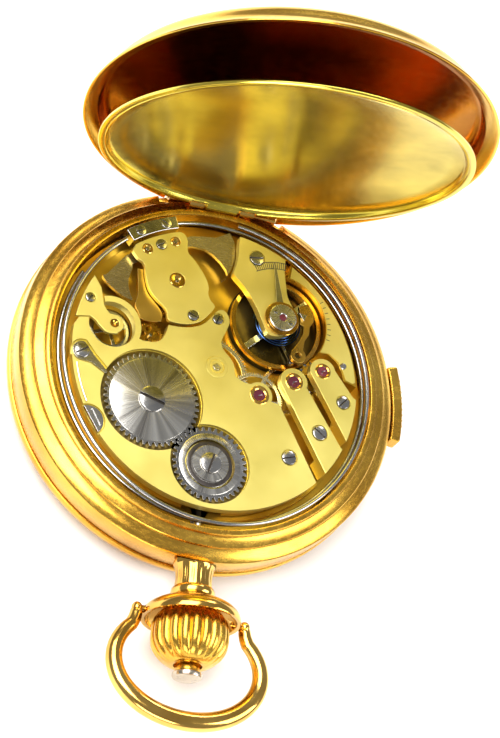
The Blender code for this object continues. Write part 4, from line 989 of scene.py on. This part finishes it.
def striking():
    left = soft([(-12.8, 12.8), (-13.2, 11.3), (-13.2, 10.0), (-12.7, 8.6), (-12.3, 7.9), (-13.5, 8.1),
                 (-15.0, 8.9), (-16.3, 9.8), (-17.1, 10.7), (-16.4, 11.0), (-15.8, 11.9), (-14.9, 13.1),
                 (-14.1, 14.3), (-13.2, 15.1)])
    right = [(-4.8, 19.75), (-2.9, 20.2), (-0.9, 20.5), (1.1, 21.75), (1.85, 20.5), (2.15, 19.0),
             (2.05, 17.5), (1.65, 16.0), (0.9, 14.4), (0.35, 13.9), (1.0, 14.6), (1.2, 15.2), (0.9, 15.9),
             (0.1, 16.8), (-1.2, 17.8), (-2.4, 18.3), (-4.6, 18.3)]
    for name, node, outline, end, post, width in (
        ("hammer_left", "hour_hammer", left, (-13.3, 14.0), HOUR_POST, 1.5),
        ("hammer_right", "quarter_hammer", right, (-4.5, 19.0), QUARTER_POST, 1.4),
    ):
        hammer = solid(name, prism(outline, 9.65, 10.2))
        join(hammer, bar(end, post, width, 9.66, 10.19))
        join(hammer, pin(1.1, 9.64, 10.21, post))
        piece(hammer, HAMMER_STEEL, [node], node, bevel=0.07, angle=40)

    def widening(angle):
        share = min(1.0, max(0.0, (angle - 205) / 95))
        return 21.9 + 0.85 * share * share * (3 - 2 * share)

    for name, node, start, end, z, radius in (
        ("gong_upper", "hour_gong", 130.5, 445.0, 11.0, widening),
        ("gong_lower", "quarter_gong", 107.5, -208.0, 10.1, lambda angle: 22.4),
    ):
        points = []
        for i in range(180):
            angle = start + (end - start) * i / 179
            points.append((*polar(radius(angle), angle), z))
        piece(sweep(points, [0.3] * 180, 14), STEEL, [node], name=name, angle=60)
    block = solid("gong_foot", prism(arc(22.95, 109, 129, 20) + arc(21.1, 129, 109, 20), 9.3, 11.5))
    piece(block, STEEL, ["gong_block"], bevel=0.12)
    screw("gong_screw_a", (-12.4, 18.2), 11.62, 0.72, 30, depth=0.2)
    screw("gong_screw_b", (-8.8, 20.2), 11.62, 0.72, -25, depth=0.2)

    wheel = solid("striking_wheel", prism(toothed(1.95, 30, 0.22, STRIKING_WHEEL), 9.85, 10.1))
    cut(wheel, *[pin(0.42, 9, 11, polar(1.05, 30 + 72 * k, STRIKING_WHEEL), 20) for k in range(5)])
    piece(wheel, GOLD_BRIGHT, slot="brass", bevel=0.02)
    piece(pin(0.25, 8.4, 10.5, STRIKING_WHEEL, 20), STEEL, name="striking_wheel_arbor", bevel=0.04)
    drum = solid("striking_barrel", prism(toothed(4.5, 60, 0.2, REPEATER), 8.65, 9.5))
    piece(drum, BRASS, ["repeater_barrel"], "repeater_barrel", bevel=0.03)
    ring = [(2.3, 9.42), (2.34, 9.4), (2.96, 9.4), (3.0, 9.44), (3.0, 9.78), (2.96, 9.8), (2.34, 9.8),
            (2.3, 9.76)]
    piece(turned(ring, GOVERNOR, 72), STEEL, ["governor_fly"], "governor", name="fly_ring")
    arms = [bar(polar(2.6, a, GOVERNOR), polar(2.6, a + 180, GOVERNOR), 0.5, 9.45 + 0.02 * n,
                9.75 - 0.02 * n) for n, a in enumerate((20, 110))]
    for index, shape in enumerate(arms):
        piece(shape, STEEL, body="governor", name=f"fly_arm_{index}", bevel=0.04)
    piece(pin(0.3, 8.5, 10.9, GOVERNOR, 24), STEEL, body="governor", name="fly_arbor")


# ---- dial side ----

def dial_side():
    face = [(1.3, 5.0), (22.9, 5.0), (22.9, 5.5), (1.3, 5.5)]
    face = solid("dial_face", turned(face, count=128))
    cut(face, pin(0.5, 4.5, 6.0, FOURTH, 24),
        turned([(0.9, 4.0), (4.6, 4.0), (4.6, 5.12), (0.9, 5.12)], FOURTH, 72))
    piece(face, ENAMEL, ["dial"], bevel=0.05)
    small = [(0.5, 5.08), (4.55, 5.08), (4.55, 5.14), (0.5, 5.14)]
    piece(turned(small, FOURTH, 72), ENAMEL, name="seconds_dial")
    for k in range(60):
        angle = 180 + 6 * k
        wide = 0.32 if k % 5 == 0 else 0.12
        mark = bar(polar(20.2, angle), polar(21.0, angle), wide, 4.975, 5.01)
        piece(mark, INK, slot="enamel", name=f"minute_mark_{k}")
        if k % 5 == 0 and k != 30:
            for n, offset in enumerate((-0.55, 0.0, 0.55)):
                side = Vector(polar(offset, angle + 90))
                a, b = Vector(polar(15.6, angle)) + side, Vector(polar(19.0, angle)) + side
                piece(bar(a, b, 0.3, 4.975, 5.01), INK, slot="enamel", name=f"hour_{k}_{n}")
    for k in range(12):
        mark = bar(polar(3.7, 30 * k, FOURTH), polar(4.3, 30 * k, FOURTH), 0.1, 5.055, 5.09)
        piece(mark, INK, slot="enamel", name=f"second_mark_{k}")
    glass = [(21.6, 3.2), (19.0, 2.95), (16.0, 2.68), (12.0, 2.42), (8.0, 2.2), (4.0, 2.06), (0, 2.0),
             (0, 2.8), (4.0, 2.84), (8.0, 2.96), (12.0, 3.15), (16.0, 3.4), (19.0, 3.62), (21.6, 3.8)]
    piece(turned(glass, count=128), GLASS, ["crystal"], name="watch_glass", angle=50)


def carried_over():
    """CAD nodes that keep their shape take the finished materials."""
    slots = {entry["node"]: entry["material_slot"] for entry in frame["record"]["subparts"]}
    for name, node in frame["nodes"].items():
        for entry in node.material_slots:
            entry.material = SLOT_MATERIALS[slots[name]][0]


# ---- stage ----

def stage():
    mesh = bpy.data.meshes.new("floor")
    half = FLOOR_HALF
    corners = [(-half, -half, 0), (half, -half, 0), (half, half, 0), (-half, half, 0)]
    mesh.from_pydata(corners, [], [(0, 1, 2, 3)])
    floor = added("floor", mesh)
    floor.location.z = -FLOOR_DROP
    paper = Nodes("paper", (0.93, 0.93, 0.93), 0.75, 0.0)
    paper.colour(paper.noise(paper.mapped(), 6, 2), (0.92, 0.92, 0.92), (0.94, 0.94, 0.94))
    mesh.materials.append(paper.material)
    world = bpy.data.worlds.new("studio")
    world.use_nodes = True
    sky = world.node_tree.nodes["Background"]
    sky.inputs["Color"].default_value = SKY_COLOUR
    sky.inputs["Strength"].default_value = SKY_STRENGTH
    bpy.context.scene.world = world
    bpy.context.scene.view_settings.view_transform = "Standard"
    for name, place, target, wide, tall, power in LAMPS:
        light = bpy.data.lights.new(name, "AREA")
        light.shape = "RECTANGLE"
        light.size, light.size_y = wide, tall
        light.energy = power
        lamp = added(name, light)
        lamp.location = place
        lamp.rotation_euler = (Vector(target) - Vector(place)).to_track_quat("-Z", "Y").to_euler()
    data = bpy.data.cameras.new("camera")
    data.lens = LENS
    data.sensor_width = SENSOR
    data.clip_start = 0.01
    camera = added("camera", data)
    camera.matrix_world = Matrix.Translation(CAMERA_PLACE) @ Matrix(CAMERA_AXES).transposed().to_4x4()
    bpy.context.scene.camera = camera


case()
lids()
pendant_and_crown()
slide()
main_plate()
bridges()
bushings()
winding()
train()
balance()
striking()
dial_side()
carried_over()
stage()
